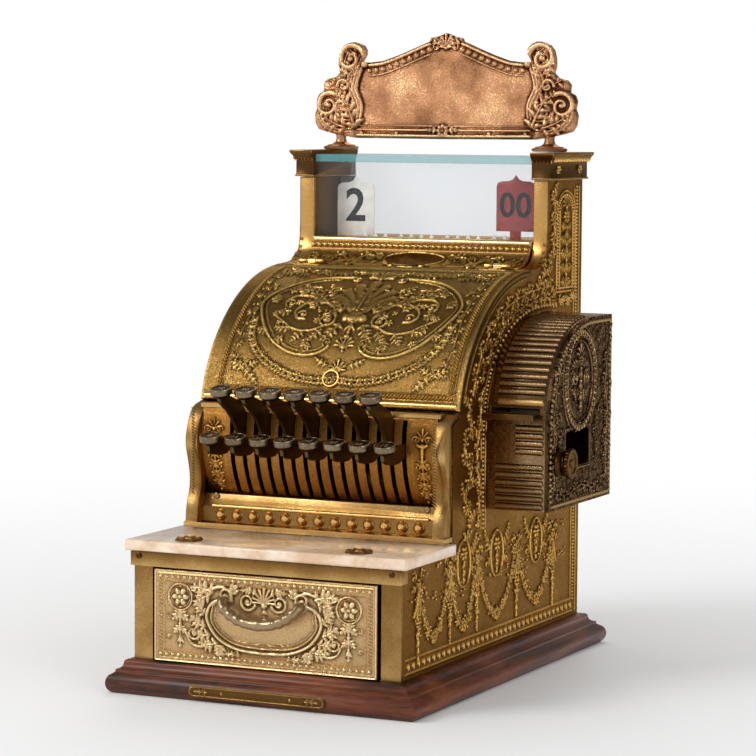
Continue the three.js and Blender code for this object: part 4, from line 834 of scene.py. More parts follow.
class Nodes:
    """A short way to wire up one finish."""

    def __init__(self, name, **numbers):
        self.material = bpy.data.materials.new(name)
        self.material.use_nodes = True
        self.tree = self.material.node_tree
        self.tree.nodes.clear()
        body = self.add("ShaderNodeBsdfPrincipled", {key.replace("_", " "): value for key, value in numbers.items()})
        self.inputs = body.node.inputs
        self.add("ShaderNodeOutputMaterial", {"Surface": body})
        self.spot = self.add("ShaderNodeTexCoord", out="Object")

    def add(self, kind, feeds=(), out=0, **settings):
        return wired(self.tree, kind, feeds, out, **settings)

    def noise(self, scale, detail=3.0, stretch=None, distortion=0.0):
        spot = self.add("ShaderNodeMapping", {"Vector": self.spot, "Scale": stretch}) if stretch else self.spot
        return self.add("ShaderNodeTexNoise",
            {"Vector": spot, "Scale": scale, "Detail": detail, "Distortion": distortion})

    def sum(self, a, b, weight=1.0, shift=0.0):
        """a plus weight times b less shift."""
        times = self.add("ShaderNodeMath", {0: b, 1: weight, 2: -shift * weight}, operation="MULTIPLY_ADD")
        return self.add("ShaderNodeMath", {0: a, 1: times}, operation="ADD")

    def spread(self, source, low, high, start=0.3, end=0.7):
        return self.add("ShaderNodeMapRange", {"Value": source, "From Min": start, "From Max": end, "To Min": low,
            "To Max": high})

    def ramp(self, source, *stops):
        return ramped(self.tree, source, *stops)

    def finished(self, colour, rough, relief=None, depth=0.05):
        """The material, once its colour, its roughness and its fine relief are wired in."""
        self.tree.links.new(colour, self.inputs["Base Color"])
        self.tree.links.new(rough, self.inputs["Roughness"])
        if relief is not None:
            normal = self.add("ShaderNodeBump", {"Height": relief, "Distance": depth * MM, "Strength": 1.0})
            self.tree.links.new(normal, self.inputs["Normal"])
        return self.material


def cast_metal(name, hollow, middle, bright, rough, stipple, cloud):
    """Old cast metal: tarnish stays in the hollows and the high places are rubbed bright."""
    n = Nodes(name, Metallic=1.0, Specular_Tint=(*((1 + v) / 2 for v in bright), 1))
    worn = n.add("ShaderNodeAttribute", out="Fac", attribute_name="worn")
    broad, fine = n.noise(30, 3), n.noise(620, 2)
    grain = n.add("ShaderNodeTexVoronoi", {"Vector": n.spot, "Scale": 1150})
    wear = n.sum(n.sum(worn, broad, cloud, 0.5), fine, 0.1 + 0.5 * stipple, 0.5)
    return n.finished(n.ramp(wear, (0.2, hollow), (0.52, middle), (0.9, bright)),
        n.spread(n.sum(broad, fine, 0.8, 0.5), rough[1], rough[0], 0.2, 0.8),
        n.sum(fine, grain, stipple * 8, 0.5))


# Each metal: label, colour in the hollows, of the ground and where rubbed, range of roughness, stipple, clouding
METALS = {
    "lid_brass": ("Lid Brass", (60, 42, 16), (142, 108, 56), (255, 214, 128), (0.24, 0.4), 0.5, 0.12),
    # Side brass: its darker ground is painted shade of the plates that face away from the lamps, laid over the real
    # tarnish in their hollows
    "side_brass": ("Dark Side Brass", (62, 36, 10), (124, 86, 42), (255, 202, 104), (0.26, 0.42), 0.3, 0.15),
    "drawer_brass": ("Drawer Brass", (104, 76, 46), (212, 176, 126), (255, 232, 182), (0.24, 0.42), 0.4, 0.15),
    "post_brass": ("Rubbed Post Brass", (86, 54, 20), (196, 146, 78), (252, 212, 138), (0.2, 0.36), 0.05, 0.15),
    "rim_brass": ("Polished Rim Brass", (150, 112, 56), (232, 196, 128), (255, 238, 186), (0.16, 0.3), 0.0, 0.05),
    "rail_brass": ("Rail Brass", (70, 44, 20), (152, 114, 62), (240, 200, 132), (0.24, 0.4), 0.12, 0.35),
    "plate_brass": ("Key Plate Brass", (60, 36, 10), (164, 114, 52), (250, 196, 104), (0.26, 0.42), 0.5, 0.12),
    "capital_brass": ("Capital Brass", (34, 22, 12), (112, 80, 44), (236, 190, 118), (0.24, 0.42), 0.1, 0.15),
    "lever_brass": ("Dark Lever Brass", (40, 32, 20), (98, 80, 52), (190, 156, 106), (0.28, 0.44), 0.1, 0.1),
    # Printer brass: its darker ground is painted shade of the printer that faces away from the lamps, laid over the
    # real tarnish in its hollows
    "printer_brass": ("Printer Brass", (26, 16, 10), (92, 67, 44), (210, 174, 126), (0.2, 0.38), 0.15, 0.2),
    "copper": ("Sign Copper", (72, 40, 24), (178, 127, 90), (244, 196, 146), (0.22, 0.42), 0.5, 1.0),
    "nickel": ("Worn Nickel", (62, 48, 32), (150, 126, 94), (214, 192, 158), (0.24, 0.4), 0.1, 0.15),
    "cap_nickel": ("Key Cap Nickel", (34, 25, 17), (88, 70, 50), (236, 216, 184), (0.22, 0.38), 0.1, 0.1),
    "steel": ("Works Steel", (60, 54, 48), (120, 112, 102), (190, 184, 174), (0.3, 0.5), 0.0, 0.1),
}
PANES = {
    "front_glass": ("Front Window Glass", 0.03, (226, 234, 240)),
    "back_glass": ("Back Window Glass", 0.2, (206, 216, 230)),
    "top_glass": ("Thick Top Glass", 0.46, (116, 190, 196)),
}
FINISHES = {}


def finish(name):
    if name not in FINISHES:
        FINISHES[name] = make_finish(name)
    return FINISHES[name]


def make_finish(name):
    c = bpy.context.scene.register_colours
    if name in METALS:
        label, *tones, rough, stipple, cloud = METALS[name]
        tones = [rgb(*tone) for tone in tones]
        tones[1] = tuple(getattr(c, name, tones[1]))
        return cast_metal(label, *tones, rough, stipple, cloud)
    if name in PANES:
        label, alpha, shade = PANES[name]
        n = Nodes(label, Alpha=alpha)
        film = n.noise(14, 3)
        shade = tuple(c.glass) if name == "back_glass" else rgb(*shade)
        return n.finished(n.ramp(film, (0.3, [v * 0.94 for v in shade]), (0.7, shade)), n.spread(film, 0.02, 0.06))
    if name == "varnished_wood":
        n = Nodes("Varnished Plinth Wood", Coat_Weight=0.1, Coat_Roughness=0.12, Specular_IOR_Level=0.35)
        grain, pores = n.noise(7, 5, (1.2, 1.2, 9), 0.6), n.noise(40, 3, (1.5, 1.5, 14))
        tones = (0.3, rgb(46, 22, 12)), (0.5, tuple(c.wood)), (0.74, rgb(138, 76, 42))
        return n.finished(n.ramp(n.sum(grain, pores, 0.4, 0.5), *tones), n.spread(pores, 0.3, 0.45), pores, 0.08)
    if name == "tray_wood":
        n = Nodes("Pale Tray Wood")
        grain = n.noise(8, 5, (30, 2.4, 30), 0.5)
        tones = (0.3, rgb(120, 88, 56)), (0.7, rgb(176, 138, 94))
        return n.finished(n.ramp(grain, *tones), n.spread(grain, 0.5, 0.7), grain, 0.15)
    if name == "marble":
        n = Nodes("Veined Marble", Coat_Weight=0.35, Coat_Roughness=0.08)
        clouds, veins = n.noise(16, 6, distortion=1.2), n.noise(46, 8, distortion=2.4)
        tones = (0.3, rgb(228, 192, 156)), (0.5, tuple(c.marble)), (0.68, rgb(255, 238, 218))
        return n.finished(n.ramp(n.sum(clouds, veins, -0.5, 0.4), *tones), n.spread(clouds, 0.12, 0.24), clouds)
    if name in ("white_enamel", "red_enamel"):
        base = tuple(getattr(c, name))
        n = Nodes(name.replace("_", " ").title(), Coat_Weight=0.5, Coat_Roughness=0.06)
        cloud = n.noise(90, 4)
        tones = (0.2, tuple(v * 0.8 for v in base)), (0.6, base)
        return n.finished(n.ramp(cloud, *tones), n.spread(cloud, 0.16, 0.3), n.noise(500, 2), 0.02)
    if name == "ink":
        n = Nodes("Black Figures")
        tones = (0.3, rgb(10, 9, 9)), (0.7, rgb(26, 24, 23))
        return n.finished(n.ramp(n.noise(300, 3), *tones), n.spread(n.noise(700, 2), 0.35, 0.5))
    if name == "paper":
        n = Nodes("Roll Paper")
        fibre = n.noise(240, 5)
        tones = (0.3, rgb(214, 206, 188)), (0.7, rgb(236, 230, 216))
        return n.finished(n.ramp(fibre, *tones), n.spread(fibre, 0.75, 0.9), fibre)
    raise KeyError(name)


# ---------------------------------------------------------------- sizes and colours a user may change

def length_setting(name, description, default):
    return bpy.props.FloatProperty(name=name, description=description, default=default * MM, min=0.0, precision=5,
        subtype="DISTANCE", unit="LENGTH")


def colour_setting(name, description, default):
    return bpy.props.FloatVectorProperty(name=name, description=description, default=rgb(*default), min=0.0, max=1.0,
        size=3, subtype="COLOR")


class RegisterSizes(bpy.types.PropertyGroup):
    edge_round: length_setting("Edge Rounding", "How far the edges of the drawer surround are rounded", 0.45)
    bead_radius: length_setting("Bead Radius", "Radius of the round beads in the borders", 1.15)
    bead_pitch: length_setting("Bead Pitch", "Distance between round beads", 2.7)
    rope_pitch: length_setting("Rope Pitch", "Distance between the strands of the rope borders", 3.1)
    rib_radius: length_setting("Rib Radius", "Radius of the ribs across the slip printer", 2.85)
    relief: bpy.props.FloatProperty(name="Relief", description="How far the cast ornament stands out, as a factor",
        default=1.0, min=0.1, max=2.0, subtype="FACTOR")


class RegisterColours(bpy.types.PropertyGroup):
    lid_brass: colour_setting("Lid Brass", "Ground of the lid", METALS["lid_brass"][2])
    # The side plates' ground colour holds painted shade as well as the real tarnish
    side_brass: colour_setting("Side Brass", "Ground of the dark side plates", METALS["side_brass"][2])
    drawer_brass: colour_setting("Drawer Brass", "Ground of the drawer front", METALS["drawer_brass"][2])
    copper: colour_setting("Sign Copper", "Face of the sign", METALS["copper"][2])
    wood: colour_setting("Plinth Wood", "Varnished wood of the plinth", (100, 48, 24))
    marble: colour_setting("Marble", "Body of the marble shelf", (248, 222, 196))
    white_enamel: colour_setting("White Enamel", "Face of the white tablets", (255, 254, 248))
    red_enamel: colour_setting("Red Enamel", "Face of the red tablet", (158, 40, 36))
    glass: colour_setting("Glass", "Tint of the window", (206, 216, 230))


def trim_size(key):
    return getattr(bpy.context.scene.register_sizes, key) / MM


def worked(relief):
    """The relief with the user's factor."""
    relief.h *= bpy.context.scene.register_sizes.relief
    return relief


def about(axis, degrees):
    return Matrix.Rotation(math.radians(degrees), 4, axis)


def mm_block(low, high):
    corners = np.array([[x, y, z] for x in (low[0], high[0]) for y in (low[1], high[1]) for z in (low[2], high[2])])
    return corners, [[0, 1, 3, 2], [4, 6, 7, 5], [0, 4, 5, 1], [2, 3, 7, 6], [0, 2, 6, 4], [1, 5, 7, 3]]


def turned_at(profile, sides, spot, turn=None):
    """A turned part in its place."""
    points, faces = turned(profile, sides)
    return moved(points, spot, turn), faces


def plain(mesh, metal, body="cabinet", stands_for=(), sharp=34):
    """A piece named as its mesh."""
    return settle(link(mesh.name, mesh), finish(metal), body, stands_for, sharp)


def front_at(depth):
    """A place function for a flat face that looks to the front."""
    return lambda u, v, h: along_x(depth - h, v, u)


def soften_border(r, radius=1.2):
    du = np.minimum(r.u - r.u[0], r.u[-1] - r.u)
    dv = np.minimum(r.v - r.v[0], r.v[-1] - r.v)
    d = np.clip(np.minimum(du[None, :], dv[:, None]) / radius, 0, 1)
    r.h -= radius * (1 - np.sqrt(1 - (1 - d) ** 2)) * 0.8


# ---------------------------------------------------------------- plinth, posts and shelf

class REGISTER_OT_plinth(bpy.types.Operator):
    """The varnished plinth and the bare cast plate on its front"""
    bl_idname = "cash_register.plinth"
    bl_label = "Plinth"

    def execute(self, context):
        dressed("base_plinth", "varnished_wood", 0.5, "plinth")
        low, high = (corner[[0, 2]] for corner in place_of("name_plate"))
        face = profile_face("name_plate")
        r = Relief(low, high, 0.4)
        outline = rounded(low, high, 4.2, 8)
        middle = (low + high) / 2
        r.stroke(middle + (np.vstack([outline, outline[:1]]) - middle) * (0.975, 0.72), 1.0, 0.5)
        leaves(r, [(42, middle[1], 0, 12, 3.4, 0.6, 3, 0)])
        paired(r, Relief.spot_dome, [((30, middle[1]), 1.3, 0.6)])
        mesh = cast_plate("name_plate_cast", worked(r), [outline], lambda u, v, h: face(u, v, h + 0.25), 1.2)
        plain(mesh, "capital_brass", "cabinet", ("name_plate",))
        return {"FINISHED"}


class REGISTER_OT_front(bpy.types.Operator):
    """The drawer surround, and the marble shelf with its two rosettes"""
    bl_idname = "cash_register.front"
    bl_label = "Front Posts and Shelf"

    def execute(self, context):
        surround = dressed("front_frame", "rail_brass", trim_size("edge_round"), "drawer_surround").data
        for vertex, worn in zip(surround.vertices, surround.attributes["worn"].data):
            worn.value *= 0.5 if vertex.co.z > SURROUND_TOP_RAIL * MM else 0.94
        dressed("marble_shelf", "marble", 0.9, "shelf_slab")
        top = place_of("marble_shelf")[1][2]
        flowers = seats_at(lambda u, v, h: np.stack([u, v, top + h], 1), [(-74.85, 13), (74.85, 13)], (1, 0))
        studded("shelf_rosettes", flower_shape(10.6, 8, 2.6), flowers, "capital_brass")
        screws = seats_at(front_at(-RAIL_PROUD), [(-111, 110.6), (111, 110.6)], (1, 0.4))
        studded("rail_screws", screw_shape(2.5, 0.9), screws, "capital_brass", "cabinet", (0.1, 0.4))
        return {"FINISHED"}


# ---------------------------------------------------------------- drawer

def drawer_relief(low, high):
    r = Relief((low[0], low[2]), (high[0], high[2]), 0.6)
    framed(r, low[[0, 2]], high[[0, 2]], ((1.2, 1.6, 1.0), (3.4, 1.0, 0.6), (9.6, 1.2, 0.9)))
    paired(r, rosette, [((74, 80), 7.6, 6, 2.0)])
    for side in (1, -1):
        for reach, width, height in ((10.4, 1.7, 1.5), (8.4, 0.9, 0.8)):
            r.stroke(arc((side * 74, 80), (reach, reach), 0, 360, 40), width, height)
    paired(r, pendant, [((74, 69), -90, (9.5, 8.4, 7.2), 1.9)])
    paired(r, ribbon, [([(0, 40.2 + inset), (23, 42 + inset), (40 - inset * 0.7, 49.5 + inset * 0.8),
          (49.5 - inset, 62.5), (49 - inset, 72), (43, 78.5 - inset * 0.3), (31, 81)], width, height)
        for inset, width, height in ((0, 2.8, 2.0), (3.6, 1.6, 1.3), (6.4, 1.1, 0.9))])
    paired(r, ribbon, [([(27, 86), (37, 90.4), (48, 87.5), (56, 84.5), (63, 86)], [2.2, 3.4, 1.6], 2.0),
        ([(46, 44), (56, 41.5), (64, 44), (68, 51)], [1.4, 2.8, 1.6], 1.8)])
    scrolls(r, [(34, 84, 6.6, -90, -1.3, 3.0, 2.1), (14, 80.5, 7.4, 200, 1.4, 2.8, 2.1),
        (62, 52, 5.6, 170, 1.3, 2.4, 2.1), (56, 78, 4.6, 60, 1.2, 2.0, 2.1)])
    leaves(r, [(74, v, turn, length, width, height, 3, 0) for turn in (-132, -48)
        for v, length, width, height in ((69, 10, 4.6, 1.5), (57, 8, 4.0, 1.4))])
    leaves(r, [(u, v, way, length, width, 2.0, 5, bend) for u, v, way, length, width, bend in (
        (44, 85, 24, 20, 7.4, -30), (47, 83, -14, 17, 6.4, -36), (24, 85, 62, 9, 5.0, 0), (40, 46, -24, 17, 6.6, 40),
        (36, 44, -60, 9, 5.6, 0), (51, 58, 8, 15, 6.4, 44), (52, 67, 40, 12, 5.4, 30), (47, 52, -16, 16, 6.2, 40),
        (20, 38, -4, 18, 3.4, 0), (6, 88, 12, 14, 4.4, -16))])
    paired(r, berries, [(spot, 2.6, 1.6) for spot in ((52, 46), (58, 66), (66, 88), (84, 64), (64, 62), (84, 48))])
    fan(r, (0.5, 79), 90, 13, 9, 74, 2.2)
    r.dome(0.5, 78, 3.0, 2.6)
    pendant(r, (0.5, 75.5), -90, (5.6, 4.6), 1.6)
    soften_border(r, 1.2)
    return worked(r)


class REGISTER_OT_drawer(bpy.types.Operator):
    """The drawer: ornamented front, tray and cast handle"""
    bl_idname = "cash_register.drawer"
    bl_label = "Drawer"

    def execute(self, context):
        low, high = place_of("drawer_front")
        face = front_at(low[1])
        plain(curved_sheet("drawer_face", drawer_relief(low, high), face, high[1] - low[1]), "drawer_brass", "drawer",
            ("drawer_front",))
        row, top = 6.3, high[2] - 5.8
        columns = [[(side + sign * row, low[2] + 8), (side + sign * row, top - 3)]
            for side, sign in ((low[0], 1), (high[0], -1))]
        rows = [[(low[0] + row + shift, v), (high[0] - row - shift, v)]
                for v in (low[2] + 6.4, top) for shift in (0, 2.7)]
        ropes = gathered(*(seats(face, line, 2.7) for line in columns),
            *(seats(face, line, 5.4, 0, 0.8) for line in rows[1::2]))
        beads = gathered(*(seats(face, line, 5.4) for line in rows[::2]))
        for name, shape, seated in (("drawer_rope", strand_shape(3.4, 1.5, 1.2, 60), ropes),
                ("drawer_beads", bead_shape(1.75, 10), beads)):
            studded(name, shape, seated, "drawer_brass", "drawer")
        dressed("drawer_tray", "tray_wood", 0.5, "drawer_box")
        self.handle(low[1])
        return {"FINISHED"}

    def handle(self, face_depth):
        """A bail with scrolled roots, swelling towards the grip."""
        low, high = place_of("drawer_handle")
        top, bottom = high[2] - 6, low[2] + 4.3
        half = [(33, face_depth + 1, top), (33.4, face_depth - 6, top), (32, face_depth - 9.6, top - 2.6),
            (26, face_depth - 10, top - 8), (17, face_depth - 10, bottom + 2.6), (8, face_depth - 10, bottom + 0.4),
            (0, face_depth - 10, bottom)]
        route = spline(half + [(-x, y, z) for x, y, z in half[-2::-1]], 8)
        run = lengths(route) / lengths(route)[-1]
        swell = 4.0 + 0.3 * np.sin(np.pi * run) ** 1.5 + 0.5 * np.cos(run * TAU * 13) * (np.abs(run - 0.5) > 0.12)
        swell += 0.5 * np.exp(-((run - 0.5) / 0.03) ** 2)
        pad = [(0, -0.6), (5.8, -0.6), (6, 0.6), (5.2, 1.5), (3.6, 1.9), (3.2, 3.4), (0, 3.6)]
        parts = [turned_at(pad, 28, (side * 33, face_depth, top), about("X", 90)) for side in (-1, 1)]
        plain(joined_mesh("drawer_pull", [tube(route, swell, 18)] + parts, 0.62), "nickel", "drawer",
            ("drawer_handle",))


# ---------------------------------------------------------------- lid

def lid_face(u, v, h):
    v = np.clip(v, 0, LID_LENGTH)
    (y, z), (ty, tz) = walked(LID_CURVE, LID_RUN, v).T, walked(LID_AHEAD, LID_RUN, v).T
    return along_x(y - h * tz, z + h * ty, u)


LID_MIDDLE = 3.7
LID_SIDE, LID_LOW, LID_HIGH = 104.2, 10.0, 171.0
HINGES_AT = (-86.9, 86.9)


def lid_relief():
    r, m = Relief((-117, 0), (117, LID_LENGTH), 0.8), LID_MIDDLE
    framed(r, (m - LID_SIDE, LID_LOW), (m + LID_SIDE, LID_HIGH), ((-2.4, 1.1, 0.6), (2.6, 1.1, 0.6)))
    for level in (178, 184):
        r.stroke([(-114, level), (114, level)], 1.6, 0.7)
    edge = spline([(23, 143), (42, 141.5), (58, 136), (70, 128), (81, 117), (88, 106), (90, 97), (88, 88), (80, 72),
        (67.5, 56), (51, 45.5), (36, 42), (24, 43.5), (16.5, 48), (14, 52)])
    paired(r, Relief.stroke, [(edge, 2.8, 1.7), (offset(edge, 4.2)[6:-4], 1.3, 1.0)], m)
    # The garland below and beside the frame
    paired(r, garland, [(spline([(4, 21), (19.6, 20), (44.7, 24.7), (69.8, 37.6), (85.4, 56.7), (89.6, 78.6)]),
        7.4, 1.5)], m)
    # The scrolls and flames about the clasp
    paired(r, ribbon, [
        ([(17, 83), (24, 95), (36, 101), (50, 97.5), (56, 88), (52, 80), (45, 79)], [2.6, 3.0, 1.8], 1.5),
        ([(36, 101), (49, 108), (61, 108.5), (69, 101), (67, 93.5)], [2.2, 2.8, 1.4], 1.4),
        ([(22, 74), (36, 66.5), (52, 68), (64, 76), (73, 82)], [2.8, 2.6, 1.4], 1.4)], m)
    scrolls(r, [(16, 55.5, 4.2, -60, 1.2, 1.8, 1.5), (20, 139.5, 4.6, 40, -1.2, 1.9, 1.6),
        (24.5, 79, 8.2, 120, 1.5, 2.4, 1.6), (48.5, 84.5, 5.6, -90, 1.2, 1.9, 1.4),
        (64, 98, 5.0, -30, 1.2, 1.8, 1.4)], m)
    leaves(r, [
        (40, 67, -42, 14, 5.4, 1.4, 4, -20), (54, 69, -8, 14, 4.8, 1.3, 4, 24), (14, 88, 64, 36, 8.4, 1.7, 6, -24),
        (30, 99, 48, 26, 7.0, 1.5, 5, -30), (55, 109, 70, 17, 5.6, 1.4, 4, -40), (10, 76, -66, 22, 6.2, 1.5, 5, 20),
        (25, 69, -60, 15, 5.0, 1.3, 4, 24), (9, 34, 12, 15, 4.6, 1.2, 4, 30), (30, 150, 8, 34, 4.6, 1.2, 6, -10)], m)
    # The sprays in the corners
    for u, v, way, turn in ((84, 27, 40, -30), (80.5, 153, -40, 30)):
        leaves(r, [(u, v, way, 15, 5.6, 1.3, 4, turn), (u, v, way + math.copysign(90, way), 13, 5.0, 1.3, 4, -turn),
            (u, v, 180 + way, 18, 5.0, 1.2, 4, 0)], m)
    for side in (1, -1):
        husk(r, (m + side * 88, 118), 90 - side * 28, 10, 1.2)
        husk(r, (m + side * 93, 84), 90 - side * 4, 9, 1.2)
    leaves(r, [(u, v, way, length, 5.0, 1.4, 4, 26) for u, v, way, length in (
        (30, 84, 150, 12), (40, 92, 60, 10), (60, 88, -20, 10), (36, 60, -100, 11), (58, 60, -60, 10),
        (70, 112, 100, 12), (26, 120, 20, 15), (44, 122, -10, 15), (20, 108, 80, 14), (77, 98, 60, 10),
        (74, 66, -10, 9))], m)
    paired(r, rosette, [(spot, 3.4, 5, 1.7) for spot in (
        (33, 78), (57, 99), (44, 110), (66, 74), (32, 50), (14, 120), (60, 124))], m)
    paired(r, berries, [((72.5, 84.5), 4.0, 1.3), ((84, 27), 3.6, 1.5), ((80.5, 153), 3.6, 1.5)], m)
    paired(r, vine, [([(6, 151), (24, 157), (44, 151), (64, 158), (92, 160)], 8, 9, 1.3),
        ([(94, 26), (97, 60), (95, 96), (97, 130), (95, 150)], 11, 7, 1.1),
        ([(14, 175.5), (40, 173.5), (66, 176.5), (96, 174.5)], 7, 6, 1.0)], m)
    r.stroke([(m - 7, 82), (m + 7, 82)], 7.4, 2.2)
    paired(r, Relief.spot_dome, [((7.5, 82), 4.2, 2.4)], m)
    leaf(r, (m, 86), 90, 46, 11, 2.2, 7)
    pendant(r, (m, 77), -90, (10, 9, 7.5), 1.8)
    for v, length, count, spread, height in ((84, 48, 7, 38, 2.0), (142, 15, 9, 74, 1.8), (50.5, 12, 7, 66, 1.7),
            (28, 11, 7, 64, 1.6)):
        fan(r, (m, v), 90, length, count, spread, height)
    berries(r, (m, 21.5), 4.4, 1.8)
    soften_border(r, 1.6)
    return worked(r)


class REGISTER_OT_lid(bpy.types.Operator):
    """The curved lid with its hinges, key plate ring and lock"""
    bl_idname = "cash_register.lid"
    bl_label = "Lid"

    def execute(self, context):
        plain(curved_sheet("lid_shell", lid_relief(), lid_face, WALL), "lid_brass", "lid", ("lid",))
        left, right = LID_MIDDLE - LID_SIDE, LID_MIDDLE + LID_SIDE
        border = [(left, LID_LOW), (right, LID_LOW), (right, LID_HIGH), (left, LID_HIGH), (left, LID_LOW)]
        rope = gathered(*(seats(lid_face, pair, trim_size("rope_pitch")) for pair in zip(border, border[1:])))
        fruit = [strewn(lid_face, spline([(LID_MIDDLE + side * u, v) for u, v in path]), 6, count, 30 + k, 0.8, 0.4)
            for side in (-1, 1) for k, (count, path) in enumerate((
                (60, [(4, 21), (45, 25), (85, 56), (90, 78)]), (46, [(20, 76), (50, 100), (70, 84)]),
                (22, [(78, 26), (94, 40)]), (22, [(76, 156), (94, 150)]), (26, [(16, 118), (60, 116)])))]
        screws = seats_at(lid_face, [(x + s * 8, 187.5) for x in HINGES_AT for s in (-1, 1)], (1, 0.5), 0.2)
        for name, shape, rows, metal, slot in (
                ("lid_rope", strand_shape(5.4, 2.3, 1.9, 44), rope, "lid_brass", "cabinet_brass"),
                ("lid_berries", bead_shape(1.2, 6), gathered(*fruit), "lid_brass", "cabinet_brass"),
                ("lid_lip", bar_shape(231, 3.3, 9), seats_at(lid_face, [(0, 3.6)], (1, 0), -1.9), "post_brass",
                 "cabinet_brass"),
                ("lid_screws", screw_shape(1.5, 0.7), screws, "nickel", "nickel")):
            studded(name, shape, rows, metal, "lid")
        self.hinges()
        self.lock()
        return {"FINISHED"}

    def hinges(self):
        depth, height = LID_REAR + 1.7, LID_TOP + 2.6
        knuckle = [(1.4, -3.6), (2.1, -3.7), (2.4, -3.4), (2.4, 3.4), (2.1, 3.7), (1.4, 3.6), (1.4, -3.6)]
        parts = []
        for x in HINGES_AT:
            parts += [turned_at(knuckle, 20, (x, depth, height), about("Y", 90)),
                mm_block((x - 3.6, depth - 11, height - 3.1), (x + 3.6, depth - 1.9, height - 1.4)),
                mm_block((x - 12, depth - 12.5, LID_TOP - 1.5), (x + 12, depth - 6.5, LID_TOP + 0.5))]
        plain(joined_mesh("lid_hinges", parts, 0.6), "rim_brass", "lid")

    def lock(self):
        at = round(0.15 * (len(LID_CURVE) - 1))
        y, z = LID_CURVE[at]
        ahead = LID_CURVE[at + 1] - LID_CURVE[at - 1]
        turn = about("X", 90 - math.degrees(math.atan2(ahead[0], ahead[1])))
        ring = [(5.8, -3), (7.9, -3), (7.9, 1.0), (7.2, 2.0), (6.4, 2.0), (5.8, 1.4), (5.8, -3)]
        plain(joined_mesh("lock_ring", [turned_at(ring, 36, (0, y, z), turn)], 0.5), "post_brass", "lid")
        dressed("lid_lock", "nickel", 0.25, "lock_barrel", 34, 0.1)


# ---------------------------------------------------------------- side and back plates

SWAG_TOPS = [(31, 100), (92, 106), (146, 108), (230, 106), (310, 106)]
SWAG_LOWS = [(61, 54), (119, 54), (187, 54), (272, 54)]
ARCH = spline([(158, 128), (158, 209), (168, 247), (190, 272), (222, 290), (262, 300), (311, 301.5)])
# Each vine: its path, the distance between its leaves, and their length
SIDE_VINES = [
    ([(122, 124), (134, 140), (118, 158), (134, 178), (118, 196), (132, 214), (126, 232)], 9, 11),
    ([(146, 130), (149, 160), (144, 190), (149, 214), (152, 236)], 9, 8),
    ([(134, 238), (146, 262), (170, 287), (208, 306), (256, 315), (300, 318)], 11, 12),
    ([(150, 248), (176, 275), (214, 297), (262, 306), (304, 308)], 10, 8),
    ([(274, 322), (290, 332), (303, 346), (306, 372), (306, 396)], 9, 11),
    ([(318, 306), (335, 304), (352, 308)], 8, 8)]


def swags():
    """The hanging paths along the foot of a side plate."""
    return [spline([a, (a[0] + (c[0] - a[0]) * 0.42, c[1] + 17), c, (b[0] + (c[0] - b[0]) * 0.42, c[1] + 17), b])
        for a, b, c in zip(SWAG_TOPS, SWAG_TOPS[1:], SWAG_LOWS)]


def window_panel(inset, side_inset, foot, top_inset=None):
    """The arched panel beside the window, as a path that starts at its lower left corner."""
    low, high = 312 + side_inset, 355 - inset
    crown = arc((333.5, 378), (21.5 - inset, 20 - (inset if top_inset is None else top_inset)), 180, -180, 20)
    return [(low, foot), (low, 378)] + crown.tolist() + [(high, foot), (low, foot)]


def side_relief(low, high, clear):
    """The whole side: festoons below, sprays above, and a medallion where no printer covers it."""
    r = Relief((low[1], low[2]), (high[1], high[2]), 1.1)
    rear = high[1] - 10
    lid_edge = offset(LID_CURVE[::12], 6)[2:-1]
    for path in ([(9, 42.5), (rear - 3, 42.5)], [(9, 31.5), (rear, 31.5)],
            [(rear - 5.5, 43), (rear - 5.5, high[2] - 8)],
            [(rear + 5.5, 31), (rear + 5.5, high[2] - 5)], lid_edge, offset(ARCH, -4.6), offset(ARCH, 4.4)):
        r.stroke(path, 1.5, 0.9)
    for path, (u, v) in zip(swags(), SWAG_LOWS):
        garland(r, path, 6.5, 1.3)
        rosette(r, (u, v), 6.5, 8, 2.0)
        paired(r, rosette, [((12, v + 5), 4.8, 6, 1.7)], u)
        if u > 100:
            r.stroke(arc((u, v + 50), (13, 19), 0, 360, 40), 2.0, 1.5)
            rosette(r, (u, v + 58), 6.4, 6, 1.9)
            pendant(r, (u, v + 52), -90, (7, 6, 5), 1.5)
            leaves(r, [(14, v + 56, 30, 20, 5.5, 1.4, 5, 50)], u)
            scrolls(r, [(20, v + 44, 4.6, 90, 1.2, 1.8, 1.4)], u)
    for u, v in SWAG_TOPS:
        drop(r, u, v, 56)
        leaves(r, [(0, v, -25, 13, 4.6, 1.4, 3, 0)], u)
        scrolls(r, [(8, v + 5, 4.0, 90, 1.2, 1.6, 1.3)], u)
    for path, pitch, reach in SIDE_VINES:
        vine(r, path, pitch, reach, 1.5)
    for u, v, size in ((127, 150, 5), (126, 186, 5.4), (128, 222, 5), (176, 292, 5.4), (238, 315, 5.4),
                       (282, 340, 6)):
        rosette(r, (u, v), size, 6, 1.9)
    for spot, turn in (((139, 168), 1.3), ((137, 206), -1.3), ((200, 292), 1.3), ((292, 322), -1.3)):
        scroll(r, spot, 6.0, 90, turn, 1.9, 1.5)
    for inset, width in ((0, 1.8), (6.5, 1.2)):
        r.stroke(window_panel(inset, inset, 312), width, 1.1)
    fan(r, (333.5, 384), 90, 11, 7, 70, 1.6)
    rosette(r, (333.5, 376), 6.5, 8, 1.8)
    pendant(r, (333.5, 367), -90, (13, 12, 11, 9), 1.7)
    leaves(r, [(0, v, 28, reach, 5.0, 1.4, 4, -30)
        for v, reach in ((318, 11), (330, 14), (342, 12), (354, 13), (366, 10))], 333.5)
    if clear:
        vine_medallion(r, (236, 214), (50, 44), 1.8)
        paired(r, vine, [([(62, 150), (66, 180), (60, 214), (66, 248), (50, 276)], 10, 12, 1.5)], 236)
    return worked(r)


